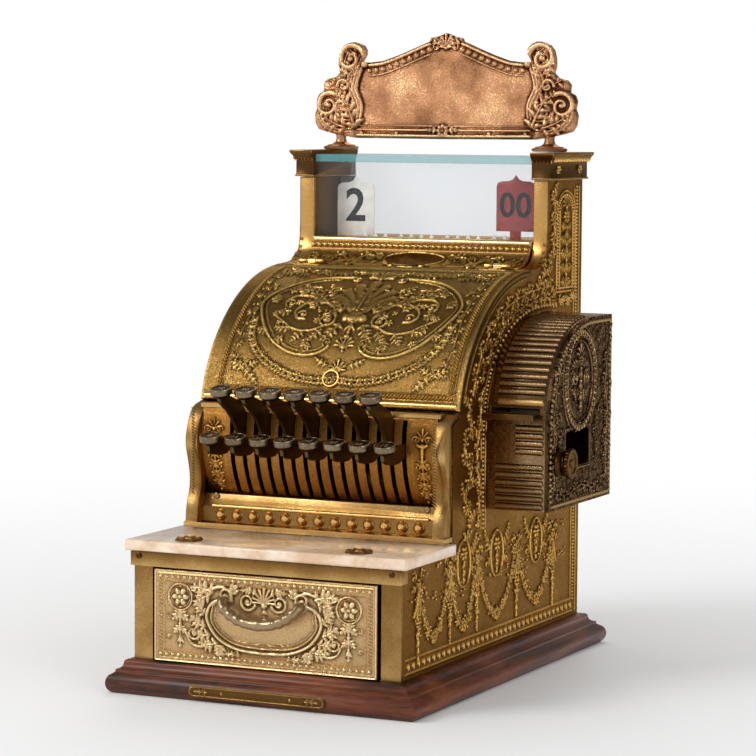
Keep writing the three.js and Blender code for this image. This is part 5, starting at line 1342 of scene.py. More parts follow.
def vine_medallion(r, centre, reach, height):
    """An oval wreath that holds a hanging spray."""
    (cu, cv), (ru, rv) = centre, reach
    garland(r, arc(centre, reach, 90, 360, 60), ru * 0.17, height)
    for share in (0.84, 1.15):
        r.stroke(arc(centre, (ru * share, rv * share), 0, 360, 60), 1.2, height * 0.6)
    rosette(r, (cu, cv + rv * 0.42), ru * 0.15, 8, height)
    fan(r, (cu, cv + rv * 0.5), 90, rv * 0.26, 5, 60, height)
    pendant(r, (cu, cv + rv * 0.26), -90, (rv * 0.24, rv * 0.22, rv * 0.19, rv * 0.16), height)
    scrolls(r, [(ru * 0.36, cv + rv * 0.06, ru * 0.17, 0, -1.3, 1.8, height * 0.85)], cu)
    leaves(r, [(3, cv - rv * 0.2, -20, ru * 0.5, 4.6, height * 0.8, 4, 50),
        (3, cv + rv * 0.3, 30, ru * 0.45, 4.6, height * 0.8, 4, -50)], cu)


class REGISTER_OT_sides(bpy.types.Operator):
    """The side plates with their window posts, and the back plate"""
    bl_idname = "cash_register.sides"
    bl_label = "Side and Back Plates"

    def execute(self, context):
        for side, way in ((1, "right"), (-1, "left")):
            self.side(side, "side_plate_" + way, "side_casting_" + way)
        self.back()
        return {"FINISHED"}

    def side(self, side, node, name):
        low, high = place_of(node)

        def face(u, v, h):
            return np.stack([side * (SIDE_FACE + h), u, v], 1)
        outline = outlines_at(node, 0, side * SIDE_FACE)[0]
        # The side casting takes the darkened brass: painted shade of a side that faces away from the lamps
        plain(cast_plate(name, side_relief(low, high, side < 0), [outline], face, WALL), "side_brass",
            stands_for=(node,))
        rear = high[1] - 10
        blocks = gathered(seats(face, [(13, 37), (rear - 6, 37)], 9.6, 0, 1.15), seats(face, ARCH[25:], 6.4))
        studded(name + "_blocks", strand_shape(4.6, 3.6, 1.7, 90), blocks)
        panel = window_panel(3.3, 3.4, 315, 3.4)
        beads = [seats(face, pair, trim_size("bead_pitch")) for pair in zip(panel, panel[1:])]
        beads += [seats(face, [(rear, 42), (rear, high[2] - 6)], 3.0, 0, 1.2), seats(face, ARCH[:24], 3.6, 0, 1.35)]
        studded(name + "_beads", bead_shape(trim_size("bead_radius")), gathered(*beads))
        if side > 0:
            studded("side_lock", screw_shape(5, 2.6), seats_at(face, [(147.1, 180.9)], (0.3, 1)), "lever_brass")
        fruit = [strewn(face, path, 9, 110, k) for k, path in enumerate(swags())]
        fruit += [strewn(face, [(12, v), (340, v)], 16, 90, 60 + v) for v in (88, 112)]
        fruit += [strewn(face, spline(row[0]), 7, 60, 7 + k) for k, row in enumerate(SIDE_VINES)]
        fruit += [strewn(face, [(u, v - 12), (u, v - 50)], 8, 26, 20 + u) for u, v in SWAG_TOPS]
        fruit = gathered(*fruit)
        at = fruit[0][:, 1:]
        kept = inside(outline, *at.T) & (np.linalg.norm(at - nearest_on([outline], at), axis=1) > 3)
        studded(name + "_berries", bead_shape(1.35, 6), tuple(column[kept] for column in fruit))
        self.post(side, name + "_post")

    def post(self, side, name):
        """The return of the side plate that runs up beside the window."""
        outer = np.vstack([POST_CURVE, [(POST_FRONT, POST_TOP)]]) - [0.12, -0.05]
        band = np.vstack([outer, [(POST_FRONT + WALL, POST_TOP)], offset(POST_CURVE, WALL)[::-1]])
        part = extruded(band, 103.7, SIDE_FACE - 0.15, lambda u, v, w: np.stack([side * w, u, v], 1))
        mesh = joined_mesh(name, [part], 0.6)
        with edited(mesh) as bm:
            corners = [e for e in bm.edges if e.is_manifold and e.calc_face_angle(0) > math.radians(40)]
            rounded_edges(bm, corners, 0.9, 3)
        plain(mesh, "post_brass")

    def back(self):
        low, high = place_of("back_plate")
        r = Relief((low[0], low[2]), (high[0], high[2]), 1.5)
        framed(r, (low[0], low[2]), (high[0], 345), ((7, 2.2, 1.1), (11, 1.5, 1.1)))
        paired(r, garland, [(spline([(0, 250), (30, 232), (62, 240), (84, 276)]), 9, 1.7)])
        paired(r, rosette, [((84, 280), 9, 8, 1.9)])
        paired(r, pendant, [((84, 268), -90, (17, 15, 13, 12), 1.7)])
        leaves(r, [(88, 50, 140, 46, 9, 1.7, 6, -50), (88, 50, 100, 46, 9, 1.7, 6, 30)])
        vine_medallion(r, (0, 150), (62, 54), 1.9)
        soften_border(worked(r), 1.2)
        outline = outlines_at("back_plate", 1, high[1])[0]
        mesh = cast_plate("back_casting", r, [outline], lambda u, v, h: along_x(high[1] + h, v, u), WALL)
        # The back plate takes the same darkened side brass: painted shade
        plain(mesh, "side_brass",
            stands_for=("back_plate",))


# ---------------------------------------------------------------- keyboard

KEY_ARC = (170.0, 199.0, 80.0)
KEY_PLATE_FOOT = 147.0
KEY_PITCH = 11.04
KEY_COUNT = 15
UPPER_CAP, LOWER_CAP = (50.2, 241.5), (53.6, 202.7)
CAP_PROFILE = [(0, -7.2), (4.6, -7.2), (6.6, -6.4), (7.7, -5.1), (8.1, -4.2), (8.95, -4.0), (9.1, -3.4), (9.1, 0.0),
    (8.7, 0.75), (8.0, 0.8), (7.5, 0.3), (0, 0.3)]


def key_plate_face(u, v, h):
    """v runs up the curved plate, from 0 at the height of its foot."""
    depth, height, radius = KEY_ARC
    a = math.asin((KEY_PLATE_FOOT - height) / radius) + v / radius
    return along_x(depth - (radius + h) * np.cos(a), height + (radius + h) * np.sin(a), u)


class REGISTER_OT_keyboard(bpy.types.Operator):
    """The cast keyboard frame, the slotted plate and the row of bosses"""
    bl_idname = "cash_register.keyboard"
    bl_label = "Keyboard"

    def execute(self, context):
        dressed("keyboard_frame", "rail_brass", 0.4, "keyboard_casting")
        dressed("key_plate", "plate_brass", 0, "slotted_plate")
        dressed("key_shaft", "steel", 0, "lever_shaft")
        cheek, strip = profile_face("keyboard_frame"), front_at(94.4)
        rope = gathered(*(seats(cheek, [(side * 108.2, 152), (side * 108.2, 221)], 2.6) for side in (-1, 1)))
        studded("cheek_rope", strand_shape(3.4, 1.8, 1.3, 50), rope, "rail_brass")
        dome = turned([(0, -0.4), (5, -0.4), (5, 0.5), (4.3, 1), (3.8, 0.6), (3.5, 1.7), (2.5, 2.9), (0, 3.5)], 20)
        studded("bar_bosses", dome, seats(strip, [(-89.15, 133.5), (89.15, 133.5)], 14.86))
        rims = gathered(*(seats_at(strip, [(0, v)], (1, 0), -0.6) for v in (126.8, 140.4)))
        studded("bar_rims", bar_shape(196, 1.5, 7), rims)
        screws = seats_at(front_at(97.9), [(-95, 148.2), (95, 148.2)], (1, 0.6), 0.6)
        studded("bar_screws", screw_shape(2.7, 1.0), screws, "lever_brass")
        for side, way in ((-1, "left"), (1, "right")):
            u = side * 93.45
            r = Relief((u - 10.9, 1.5), (u + 10.9, 76), 0.55)
            fan(r, (u, 62), 90, 9, 5, 62, 1.6)
            r.stroke([(u - 4.5, 58), (u, 56), (u + 4.5, 58)], [2.6, 3.6, 2.6], 1.7)
            r.stroke([(u, 57), (u, 44)], [4.6, 2.0], 1.8)
            scrolls(r, [(5.2, 62, 3.4, 0, 1.2, 1.5, 1.5)], u)
            leaves(r, [(0, v, -34, reach, 3.4, 1.4, 3, -30) for v, reach in ((46, 9), (36, 8), (27, 7), (19, 6))], u)
            pendant(r, (u, 45), -90, (9, 8.5, 8, 7), 1.7)
            for v in (42, 33, 24, 14):
                berries(r, (u, v), 2.6, 1.6)
            soften_border(r, 0.5)
            plain(curved_sheet("key_side_panel_" + way, worked(r), key_plate_face, 0.4), "plate_brass")
        return {"FINISHED"}


class REGISTER_OT_keys(bpy.types.Operator):
    """The fifteen key levers with their numbered caps"""
    bl_idname = "cash_register.keys"
    bl_label = "Keys"

    def execute(self, context):
        cap, faces = turned(CAP_PROFILE, 32)
        wear = np.array([0.26 + (0.4 if p[2] > 0.5 else 0.32 if p[2] > -4.05 and math.hypot(p[0], p[1]) > 8 else 0)
            for p in cap])
        turn = about("X", 12)
        for index in range(KEY_COUNT):
            number = f"_{index + 1:02d}"
            dressed("key" + number, "lever_brass", 0, "lever" + number)
            spot = ((index - KEY_COUNT // 2) * KEY_PITCH, *(UPPER_CAP if index % 2 else LOWER_CAP))
            digits, digit_faces = numeral(str(5 * (index + 1)), 7.2 if index < 1 else 6.2, 0.7)
            parts = [(moved(cap, spot, turn), faces, wear),
                (moved(digits + [0, 0, 0.35], spot, turn), digit_faces, np.full(len(digits), 1.0))]
            plain(joined_mesh("cap" + number, parts), "cap_nickel", "key" + number)
        return {"FINISHED"}


class REGISTER_OT_tablets(bpy.types.Operator):
    """The indicator tablets that rise behind the window glass"""
    bl_idname = "cash_register.tablets"
    bl_label = "Indicator Tablets"

    def execute(self, context):
        for index in range(KEY_COUNT):
            number = f"_{index + 1:02d}"
            node = "tablet" + number
            dressed(node, "red_enamel" if index == KEY_COUNT - 1 else "white_enamel", 0.25, "tablet_plate" + number)
            low, high = place_of(node)
            depth = 323 - 3 * (index % 4)
            text = "2" if index == 0 else "00" if index == KEY_COUNT - 1 else str(5 * (index + 1))
            parts = []
            for lift, turn in ((-0.65, about("X", 90)), (0.65, about("Z", 180) @ about("X", 90))):
                digits, faces = numeral(text, 40 if len(text) < 2 else 30, 0.2, 0.02)
                parts.append((moved(digits, ((low[0] + high[0]) / 2, depth + lift, high[2] - 27), turn), faces))
            plain(joined_mesh("tablet_figures" + number, parts), "ink", node)
        return {"FINISHED"}


# ---------------------------------------------------------------- window, capitals and sign

class REGISTER_OT_window(bpy.types.Operator):
    """The window glass and the sill it stands on"""
    bl_idname = "cash_register.window"
    bl_label = "Window"

    def execute(self, context):
        for pane, bevel in (("front", 0), ("back", 0), ("top", 0.6)):
            dressed("window_glass_" + pane, pane + "_glass", bevel, pane + "_pane").visible_shadow = False
        dressed("window_sill", "post_brass", 0.2, "sill_casting")
        sill = profile_face("window_sill")
        # A dark flat strip behind the bead row: painted shade in the gaps between the beads
        shade_strip = Relief((-102.5, 346.2), (102.5, 351.2), 1.0)
        plain(curved_sheet("sill_channel", shade_strip, lambda u, v, h: sill(u, v, h + 0.15), 0.3), "capital_brass")
        studded("sill_beads", bead_shape(2.3, 10), seats(sill, [(-100, 348.7), (100, 348.7)], 5.7))
        studded("sill_rims", bar_shape(204, 0.9, 6), seats_at(sill, [(0, 345.3)], (1, 0), -0.4))
        studded("sill_lip", bar_shape(205.5, 2.6, 9), seats_at(sill, [(0, 353.4)], (1, 0), -1.4), "rim_brass")
        r = Relief((-100, 331.5), (100, 344.4), 0.7)
        paired(r, vine, [([(31, 337), (44, 340.5), (58, 335.5), (72, 340), (86, 335.5), (98, 338.5)], 6.5, 6.5, 1.2)])
        scrolls(r, [(33, 339, 3.6, 0, 1.2, 1.4, 1.2)])
        r.stroke(arc((0, 338), (28, 5.6), 0, 360, 60), 1.4, 1.0)
        plain(curved_sheet("sill_vine", worked(r), lambda u, v, h: sill(u, v, h + 0.25), 0.3), "lid_brass")
        oval = extruded(arc((0, 338), (26.6, 4.9), 0, 354, 59), -0.4, 0.75, sill)
        plain(joined_mesh("sill_oval", [oval], 0.3), "capital_brass")
        return {"FINISHED"}


class REGISTER_OT_capitals(bpy.types.Operator):
    """The two capitals with their rows of leaves"""
    bl_idname = "cash_register.capitals"
    bl_label = "Capitals"

    def execute(self, context):
        for side, node in ((-1, "capital_left"), (1, "capital_right")):
            dressed(node, "capital_brass", 0.5, node + "_casting", 34, 0.36)
            low, high = place_of(node)
            inner, outer = sorted((abs(low[0]), abs(high[0])))
            fascia = outer - 4.5
            lower, upper = high[2] - 8.4, high[2] - 2.2
            slope = 4.5 / (upper - lower)

            def front(u, v, h):
                return along_x(POST_FRONT - 2.8 - np.clip(v - lower, 0, None) * slope - h, v, u)

            def flank(u, v, h, side=side):
                return np.stack([side * (fascia + np.clip(v - lower, 0, None) * slope + h), u, v], 1)
            at, _ = spaced([(side * (inner + 1.5), lower - 1), (side * (fascia + 1), lower - 1)], 3.6)
            ribs = seats(flank, [(POST_FRONT, lower + 3.4), (high[1] - 6, lower + 3.4)], 3.6)
            knobs = seats_at(flank, [(POST_FRONT + 14, lower - 6), (high[1] - 24, lower - 6)], (1, 0), 0, 1.2)
            studded(node + "_leaves", leaf_shape(8.6, 1.1, 1.5), seats_at(front, at, (0, 1)))
            studded(node + "_ribs", strand_shape(6.6, 2.0, 1.7, side * 64), ribs)
            studded(node + "_flowers", flower_shape(3.2, 6, 1.5), knobs, "rail_brass")
        return {"FINISHED"}


SIGN_FOOT, SIGN_DEPTH, SIGN_HALF, SIGN_TALL = 440.8, 338.0, 124.5, 92.5
SIGN_LEAN = math.radians(4.7)
# The right half of the sign's outline, as shares of its half width and its height
SIGN_LOWER = [(0, 0), (0.69, 0.004)]
SIGN_END = [(0.835, 0.037), (0.912, 0.061), (0.966, 0.083), (0.992, 0.137), (1, 0.229), (0.982, 0.289),
    (0.991, 0.363), (0.974, 0.417), (0.936, 0.445), (0.939, 0.515), (0.913, 0.556), (0.848, 0.577),
    (0.814, 0.626), (0.825, 0.688), (0.822, 0.761), (0.806, 0.836), (0.776, 0.884), (0.733, 0.909),
    (0.687, 0.912), (0.647, 0.886), (0.624, 0.838), (0.628, 0.789), (0.643, 0.758), (0.655, 0.721)]
SIGN_INNER = [(0.672, 0.64), (0.69, 0.56), (0.745, 0.47), (0.765, 0.36), (0.75, 0.25), (0.7, 0.14)]
SIGN_UPPER = [(0.586, 0.72), (0.484, 0.736), (0.365, 0.789), (0.249, 0.852), (0.161, 0.902), (0.124, 0.919),
    (0.113, 0.951), (0.066, 0.964), (0.031, 0.982), (0, 1)]


def sign_points(shares, side=1):
    return [(side * SIGN_HALF * u, SIGN_FOOT + SIGN_TALL * v) for u, v in shares]


def sign_face(u, v, h):
    """Out of the leaning front of the sign."""
    out, up = 2.5 + h, v - SIGN_FOOT
    c, s = math.cos(SIGN_LEAN), math.sin(SIGN_LEAN)
    return along_x(SIGN_DEPTH - out * c + up * s, SIGN_FOOT + out * s + up * c, u)


def sign_relief():
    z = SIGN_FOOT
    r = Relief((-SIGN_HALF, z), (SIGN_HALF, z + SIGN_TALL), 0.6)
    for side in (1, -1):
        r.plateau(sign_points(SIGN_LOWER[1:] + SIGN_END + SIGN_INNER, side), 1.7, 1.4)
    scrolls(r, [(91, z + 70, 14.0, 200, -1.35, 8.0, 4.6), (111, z + 29, 11.5, 120, -1.35, 6.4, 4.4),
        (97, z + 46, 6.2, 0, 1.2, 4.4, 4.0), (-8.5, z + 80, 4.5, 0, 1.2, 2.2, 2.4)])
    leaves(r, [(85, z + rise, way, reach, 9, 3.2, 5, 30) for rise, way, reach in (
        (16, -6, 26), (27, 22, 24), (38, 44, 26), (52, 66, 20), (60, 10, 20), (74, 20, 14))])
    leaves(r, [(92, z + 9, 12, 28, 11, 4.2, 5, 26), (84, z + 8, 74, 32, 11, 4.2, 5, -18),
        (93, z + 52, 110, 15, 7.5, 3.6, 4, 30), (104, z + 48, 20, 14, 7, 3.6, 3, 40),
        (2, z + 84, 26, 17, 5.5, 2.4, 4, -30), (0, z + 7, 4, 16, 4.4, 2.0, 4, 0)])
    paired(r, fluted, [([(84, z + 12), (82, z + 28), (88, z + 44), (84, z + 60), (80, z + 72)], 9, 3.8),
        ([(88, z + 8), (104, z + 8), (116, z + 16), (119, z + 30)], 8, 3.8)])
    paired(r, berries, [((101, z + 10), 4.4, 3.4)])
    top = np.array(sign_points(SIGN_UPPER[:6]))
    paired(r, ribbon, [([(86, z + 9), (100, z + 16), (104, z + 28), (98, z + 38)], [2.5, 4.0, 2.2], 3.0),
        (top - [0, 2.4], 3.4, 2.2), (top - [0, 11.6], 1.8, 1.3)])
    paired(r, Relief.stroke, [([(0, z + rise), (82, z + rise + 0.4)], width, height)
        for rise, width, height in ((2.2, 3.2, 2.0), (7.2, 2.2, 1.5), (11, 1.4, 1.0))])
    fan(r, (0, z + 79), 90, 12, 9, 78, 2.8)
    rosette(r, (0, z + 7), 6.6, 8, 2.6)
    return worked(r)


class REGISTER_OT_sign(bpy.types.Operator):
    """The bare stippled sign with its beaded crest, scrolled ends and feet"""
    bl_idname = "cash_register.sign"
    bl_label = "Sign"

    def execute(self, context):
        half = SIGN_LOWER + SIGN_END + SIGN_UPPER
        outline = np.array(sign_points(half) + sign_points(half[1:-1][::-1], -1))
        plain(cast_plate("sign_casting", sign_relief(), [outline], sign_face, 5), "copper", "cabinet",
            ("sign_board",))
        rows = []
        for side in (-1, 1):
            at, ahead = spaced(spline(np.array(sign_points(SIGN_UPPER[:6], side)) - [0, 7.2]), 6.5)
            rows.append((*seats_at(sign_face, at, ahead, 0.3)[:3], 1.2 - 0.55 * np.abs(at[:, 0]) / SIGN_HALF))
        studded("sign_pearls", bead_shape(2.7, 14), gathered(*rows), "copper")
        screws = seats_at(sign_face, [(x, SIGN_FOOT + 4.6) for x in (-44, 44, -78, 78)], (1, 0.3), 1.4)
        studded("sign_screws", screw_shape(1.5, 0.8), screws, "copper")
        foot = [(0, 0), (14.2, 0), (15.4, 0.8), (15.6, 1.8), (14.6, 2.9), (12.6, 3.2), (12.0, 4.1), (8.4, 4.6),
            (5.2, 6.6), (4.3, 9.5), (4.6, 12.5), (6.2, 14.2), (4.4, 15.4), (0, 15.4)]
        parts = [turned_at(foot, 40, (side * 99.3, SIGN_DEPTH, 430.9)) for side in (-1, 1)]
        plain(joined_mesh("sign_feet", parts, 0.62), "copper")
        return {"FINISHED"}


# ---------------------------------------------------------------- slip printer

DOOR_LEVEL = 170.5
WREATH, WREATH_REACH = (232.5, 245), (33, 39)
BORE = (186.5, 181)


class REGISTER_OT_printer(bpy.types.Operator):
    """The slip printer: ribbed shell, ornamented door, knob, shelf and paper"""
    bl_idname = "cash_register.printer"
    bl_label = "Slip Printer"

    def execute(self, context):
        # The printer shell, ribs and door take the darkened brass: painted shade
        dressed("printer_case", "printer_brass", 0.6, "printer_shell")
        low, high = place_of("printer_case")
        corner = (low[1], low[2] + (high[2] - low[2]) * 0.47)
        reach = (low[1] + (high[1] - low[1]) * 0.685, high[2])
        bend = bezier(corner, reach, [(0, 0), (0.015, 0.56), (0.41, 0.99), (1, 1)], 60)
        path = np.vstack([[low[1:]], bend, [high[1:]]])
        run = lengths(path)

        def nose(u, v, h):
            """u along the rib, v up the straight front and on round the curve."""
            y, z = walked(path, run, v).T
            ahead = (walked(path, run, v + 0.5) - walked(path, run, v - 0.5)).T
            ty, tz = ahead / (np.hypot(*ahead) + 1e-9)
            return along_x(y - h * tz, z + h * ty, u)
        width, middle = high[0] - low[0], (low[0] + 5.5 + high[0]) / 2
        long_ribs = [(middle, v) for v in np.concatenate([np.arange(3.6, 42, 6.4), np.arange(97, 208, 6.7)])]
        short_ribs = [(middle + 8.6, v) for v in np.arange(48.5, 72, 6.4)]
        rib = trim_size("rib_radius")
        for name, rows, shape, lift, metal, worn in (
                ("printer_ribs", long_ribs, bar_shape(width - 6.5, rib, 9), -0.9, "printer_brass", (0.3, 0.72)),
                ("printer_short_ribs", short_ribs, bar_shape(width - 23.7, rib, 9), -0.9, "printer_brass",
                 (0.3, 0.72)),
                ("printer_band", [(middle, 88.3)], bar_shape(width - 5, 5.2, 15), -4.2, "rail_brass", (0.2, 0.7))):
            studded(name, shape, seats_at(nose, rows, (1, 0), lift), metal, "cabinet", worn)
        self.door()
        self.knob()
        dressed("slip_shelf", "capital_brass", 0.3, "slip_tongue", 34, 0.25)
        roll = [(5.2, -25), (26.6, -25), (27, -24.6), (27, 24.6), (26.6, 25), (5.2, 25), (5.2, -25)]
        plain(joined_mesh("slip_roll", [turned_at(roll, 56, (142.4, 236, 232), about("Y", 90))]), "paper",
            "paper_roll", ("paper_roll",))
        return {"FINISHED"}

    def door(self):
        low, high = place_of("printer_door")
        r = Relief(low[1:], high[1:], 0.7)
        # A lower ground value darkens the whole door face: painted shade of this side-facing door
        r.ground = 0.36
        vine_medallion(r, WREATH, WREATH_REACH, 2.3)
        dice = np.random.default_rng(11)
        for u in np.arange(172, 304, 8.5):
            for v in np.arange(148, 296, 8.5):
                spot = dice.normal((u, v), 1.2)
                if not 0.8 < np.hypot(*((spot - WREATH) / WREATH_REACH)) < 1.2:
                    leaf(r, spot, dice.uniform(0, 360), 7.5, 4.2, 0.7, 3, dice.uniform(-60, 60))
                    r.dome(*(spot + 2.6), 1.2, 1.1)
        for u, way in ((176, 1), (294, -1)):
            vine(r, [(u, 160), (u + 3 * way, 186), (u - 2 * way, 212), (u + 4 * way, 238),
                (u + 14 * max(way, 0), 262)], 8.5, 10, 1.6)
        vine(r, [(182, 156), (205, 153), (236, 158), (266, 153), (288, 156)], 7.5, 8.5, 1.5)
        vine(r, [(266, 176), (274, 190), (268, 204), (276, 214)], 8, 9, 1.5)
        leaves(r, [(36, 208, -40, 17, 5, 1.5, 4, -40), (38, 276, 20, 15, 5, 1.5, 4, 40)], 232)
        scrolls(r, [(46, 216, 5.4, 90, 1.3, 2.0, 1.5)], 232)
        framed(r, (200, 173), (256, 206.5), ((0, 1.6, 1.2),))
        outline = outlines_at("printer_door", 0, DOOR_LEVEL)[0]
        holes = [rounded((202, 175), (254, 204.5), 4, 5), arc(BORE, (3.8, 3.8), 0, 345, 23)]

        def face(u, v, h):
            return np.stack([DOOR_LEVEL + h, u, v], 1)
        plain(cast_plate("door_casting", worked(r), [outline, *holes], face, 2.7), "printer_brass", "printer_door",
            ("printer_door",))
        inner = np.vstack([outline, outline[:1]]) - [236, 215]
        rope = seats(face, inner * (1 - 4.2 / np.abs(inner).max(0)) + [236, 215], 4.6)
        fruit = gathered(strewn(face, arc(WREATH, WREATH_REACH, 0, 360, 60), 7, 130, 3),
            strewn(face, [(176, 162), (178, 258)], 8, 60, 4), strewn(face, [(294, 162), (290, 240)], 8, 60, 5),
            strewn(face, arc((232.5, 246), (16, 18), 0, 360, 40), 9, 60, 6))
        studded("door_rope", bead_shape(1.9), rope, "lever_brass", "printer_door", (0.45, 0.95))
        studded("door_berries", bead_shape(1.2, 6), fruit, "printer_brass", "printer_door")
        boss = [(3.7, -0.4), (11.5, -0.4), (11.5, 2.2), (10.4, 3.4), (10, 5.4), (10.9, 7), (10.9, 8.4), (10, 9.3),
            (3.7, 9.3), (3.7, -0.4)]
        plain(joined_mesh("door_boss", [turned_at(boss, 44, (DOOR_LEVEL, *BORE), about("Y", 90))], 0.3),
            "capital_brass", "printer_door")

    def knob(self):
        low, high = place_of("printer_knob")
        sides = 72
        knob, faces = turned([(0, -20), (3, -20), (3, -0.6), (11.2, -0.6), (12.6, 0.2), (12.6, 2.2), (11.6, 3.1),
            (8.6, 3.1), (8.0, 2.4), (4.2, 2.2), (3.4, 3.1), (0, 3.3)], sides)
        reach = np.hypot(knob[:, 0], knob[:, 1])
        turn = np.round(np.arctan2(knob[:, 1], knob[:, 0]) / TAU * sides).astype(int) % 3
        knob[:, :2] *= np.where((reach > 11.5) & (turn == 0), 0.955, 1)[:, None]
        knob = moved(knob, (180.6, *(low + high)[1:] / 2), about("Y", 90))
        plain(joined_mesh("knurled_knob", [(knob, faces)], 0.3), "capital_brass", "printer_knob",
            ("printer_knob",), 30)


class REGISTER_OT_works(bpy.types.Operator):
    """The counter drum, gong and hammer inside the cabinet"""
    bl_idname = "cash_register.works"
    bl_label = "Works"

    def execute(self, context):
        dressed("counter_drum", "nickel", 0.3, "counter_wheels")
        dressed("bell_hammer", "steel", 0.2, "bell_striker")
        low, high = place_of("bell_gong")
        bell = [(0, high[1]), (3.5, high[1])]
        bell += [(radius, low[1] + back) for radius, back in (
            (3.5, 17), (5.5, 16), (14, 14.5), (21.5, 10), (25.6, 4), (27, 0), (25.2, 0), (23.4, 4), (19.4, 9),
            (12, 12.8), (0, 13.5))]
        points, faces = turned(bell, 48)
        points = points[:, [0, 2, 1]] + (low + high) / 2 * [1, 0, 1]
        plain(joined_mesh("gong_bell", [(points, faces)], 0.7), "nickel", stands_for=("bell_gong",))
        return {"FINISHED"}


# ---------------------------------------------------------------- stage

CAMERA_LENS, CAMERA_SENSOR = 144.42, 36.0
CAMERA_SPOT = (1.07391, -2.28104, 0.45947)
CAMERA_ANGLES = (-25.058, 4.916, 0.405)
# Each lamp: name, place and size in metres, power in watts
LAMPS = (("key_lamp", (-1.9, -2.2, 2.2), 1.5, 46), ("fill_lamp", (2.6, -1.6, 1.3), 1.4, 13),
    ("rear_lamp", (-0.6, 2.4, 2.4), 1.6, 22))
LAMPS_AIM = Vector((0, 0, 0.25))


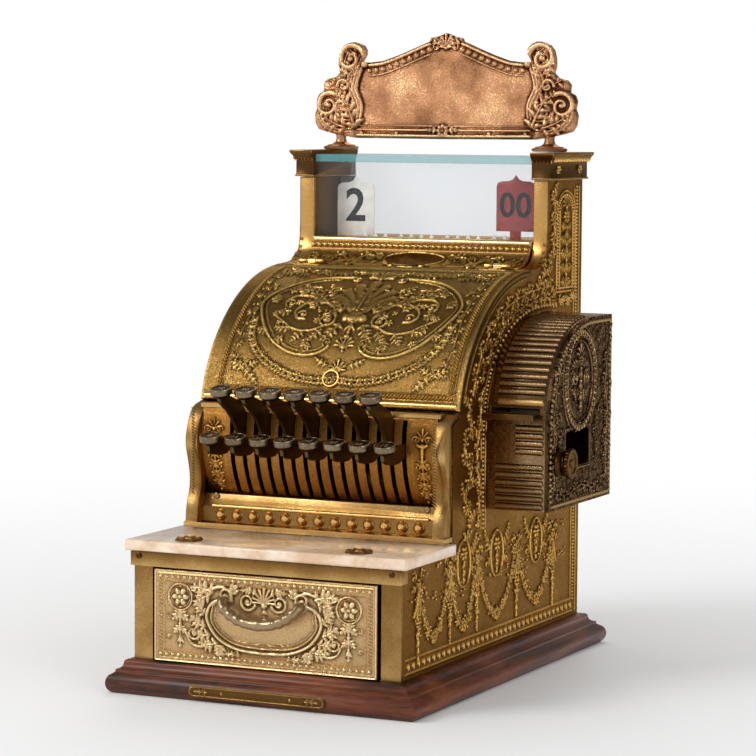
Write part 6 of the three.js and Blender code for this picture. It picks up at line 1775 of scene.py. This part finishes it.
class REGISTER_OT_stage(bpy.types.Operator):
    """The pale floor, soft lamps, white surround and camera"""
    bl_idname = "cash_register.stage"
    bl_label = "Stage"

    def execute(self, context):
        scene = context.scene
        scene.view_settings.view_transform = "Standard"
        self.floor()
        self.surround(scene)
        for name, spot, size, power in LAMPS:
            lamp = bpy.data.lights.new(name, "AREA")
            lamp.size, lamp.energy = size, power
            obj = bpy.data.objects.new(name, lamp)
            scene.collection.objects.link(obj)
            obj.location = spot
            obj.rotation_euler = (LAMPS_AIM - Vector(spot)).to_track_quat("-Z", "Y").to_euler()
            obj.visible_camera = False
        camera = bpy.data.cameras.new("camera")
        camera.lens, camera.sensor_width, camera.clip_end = CAMERA_LENS, CAMERA_SENSOR, 50.0
        obj = bpy.data.objects.new("camera", camera)
        scene.collection.objects.link(obj)
        yaw, pitch, roll = (math.radians(a) for a in CAMERA_ANGLES)
        ahead = Vector((math.sin(yaw) * math.cos(pitch), math.cos(yaw) * math.cos(pitch), -math.sin(pitch)))
        right = Vector((math.cos(yaw), -math.sin(yaw), 0))
        up = right.cross(ahead)
        right, up = math.cos(roll) * right + math.sin(roll) * up, math.cos(roll) * up - math.sin(roll) * right
        turn = Matrix((right, up, -ahead)).transposed().to_4x4()
        obj.matrix_world = Matrix.Translation(CAMERA_SPOT) @ turn
        scene.camera = obj
        return {"FINISHED"}

    def floor(self):
        points, faces = turned([(9000, -0.4), (0, -0.4)], 96)
        mesh = bpy.data.meshes.new("floor")
        mesh.from_pydata((points * MM).tolist(), [], faces)
        obj = link("floor", mesh)
        material = bpy.data.materials.new("Pale Floor")
        material.use_nodes = True
        tree = material.node_tree
        tree.nodes.clear()
        place = wired(tree, "ShaderNodeTexCoord", out="Object")
        away = wired(tree, "ShaderNodeVectorMath", {0: place}, "Value", operation="LENGTH")
        fade = wired(tree, "ShaderNodeMapRange", {"Value": away, "From Min": 0.25, "From Max": 1.5},
            interpolation_type="SMOOTHSTEP")
        white = wired(tree, "ShaderNodeMath", {0: fade, 1: seen_directly(tree)}, operation="MULTIPLY")
        mix = wired(tree, "ShaderNodeMixShader", {
            "Fac": white, 1: wired(tree, "ShaderNodeBsdfDiffuse", {"Color": (0.905, 0.905, 0.905, 1)}),
            2: wired(tree, "ShaderNodeEmission")})
        wired(tree, "ShaderNodeOutputMaterial", {"Surface": mix})
        mesh.materials.append(material)

    def surround(self, scene):
        """White where the camera looks past the object, paler overhead in reflections, dimmer as light."""
        world = bpy.data.worlds.new("Studio")
        world.use_nodes = True
        scene.world = world
        tree = world.node_tree
        tree.nodes.clear()
        place = wired(tree, "ShaderNodeTexCoord", out="Generated")
        height = wired(tree, "ShaderNodeSeparateXYZ", {"Vector": place}, "Z")
        sky = ramped(tree, height, (0.04, (0.8,) * 3), (0.35, (0.4,) * 3), (0.9, (0.26,) * 3))
        aside = wired(tree, "ShaderNodeVectorMath", {0: place, 1: (-0.6, -0.7, 0)}, "Value", operation="DOT_PRODUCT")
        strength = wired(tree, "ShaderNodeMapRange", {"Value": aside, "From Min": -0.9, "From Max": 0.8,
            "To Min": 0.42, "To Max": 1.0})
        rays = wired(tree, "ShaderNodeLightPath").node.outputs
        direct = wired(tree, "ShaderNodeMath", {0: rays["Is Camera Ray"], 1: rays["Is Transmission Ray"]},
            operation="MAXIMUM")
        light = wired(tree, "ShaderNodeBackground", {"Color": (1, 1, 1, 1), "Strength": 0.62})
        reflected = wired(tree, "ShaderNodeBackground", {"Color": sky, "Strength": strength})
        white = wired(tree, "ShaderNodeBackground", {"Color": (1, 1, 1, 1)})
        unseen = wired(tree, "ShaderNodeMixShader", {"Fac": rays["Is Glossy Ray"], 1: light, 2: reflected})
        wired(tree, "ShaderNodeOutputWorld",
            {"Surface": wired(tree, "ShaderNodeMixShader", {"Fac": direct, 1: unseen, 2: white})})


def seen_directly(tree):
    """1 for rays that show the surround, from the camera or through glass, and a share for reflections."""
    rays = wired(tree, "ShaderNodeLightPath").node.outputs
    value = rays["Is Camera Ray"]
    for name, share in (("Is Transmission Ray", 1.0), ("Is Glossy Ray", 0.35)):
        part = wired(tree, "ShaderNodeMath", {0: rays[name], 1: share}, operation="MULTIPLY")
        value = wired(tree, "ShaderNodeMath", {0: value, 1: part}, operation="MAXIMUM")
    return value


# ---------------------------------------------------------------- the add-on

STEPS = (REGISTER_OT_stage, REGISTER_OT_plinth, REGISTER_OT_front, REGISTER_OT_drawer, REGISTER_OT_lid,
    REGISTER_OT_sides, REGISTER_OT_keyboard, REGISTER_OT_keys, REGISTER_OT_tablets, REGISTER_OT_window,
    REGISTER_OT_capitals, REGISTER_OT_sign, REGISTER_OT_printer, REGISTER_OT_works)


class REGISTER_PT_panel(bpy.types.Panel):
    """Lists the sizes, the colours and the steps"""
    bl_idname = "REGISTER_PT_panel"
    bl_label = "Antique Cash Register"
    bl_space_type = "VIEW_3D"
    bl_region_type = "UI"
    bl_category = "Register"

    def draw(self, context):
        for settings in (context.scene.register_sizes, context.scene.register_colours):
            box = self.layout.box()
            for key in settings.__annotations__:
                box.prop(settings, key)
        for step in STEPS:
            self.layout.operator(step.bl_idname)


CLASSES = (RegisterSizes, RegisterColours, *STEPS, REGISTER_PT_panel)


def register():
    for cls in CLASSES:
        bpy.utils.register_class(cls)
    bpy.types.Scene.register_sizes = bpy.props.PointerProperty(type=RegisterSizes)
    bpy.types.Scene.register_colours = bpy.props.PointerProperty(type=RegisterColours)


def unregister():
    del bpy.types.Scene.register_colours
    del bpy.types.Scene.register_sizes
    for cls in reversed(CLASSES):
        bpy.utils.unregister_class(cls)


def main():
    register()
    for step in STEPS:
        group, name = step.bl_idname.split(".")
        getattr(getattr(bpy.ops, group), name)()


if __name__ == "__main__":
    main()
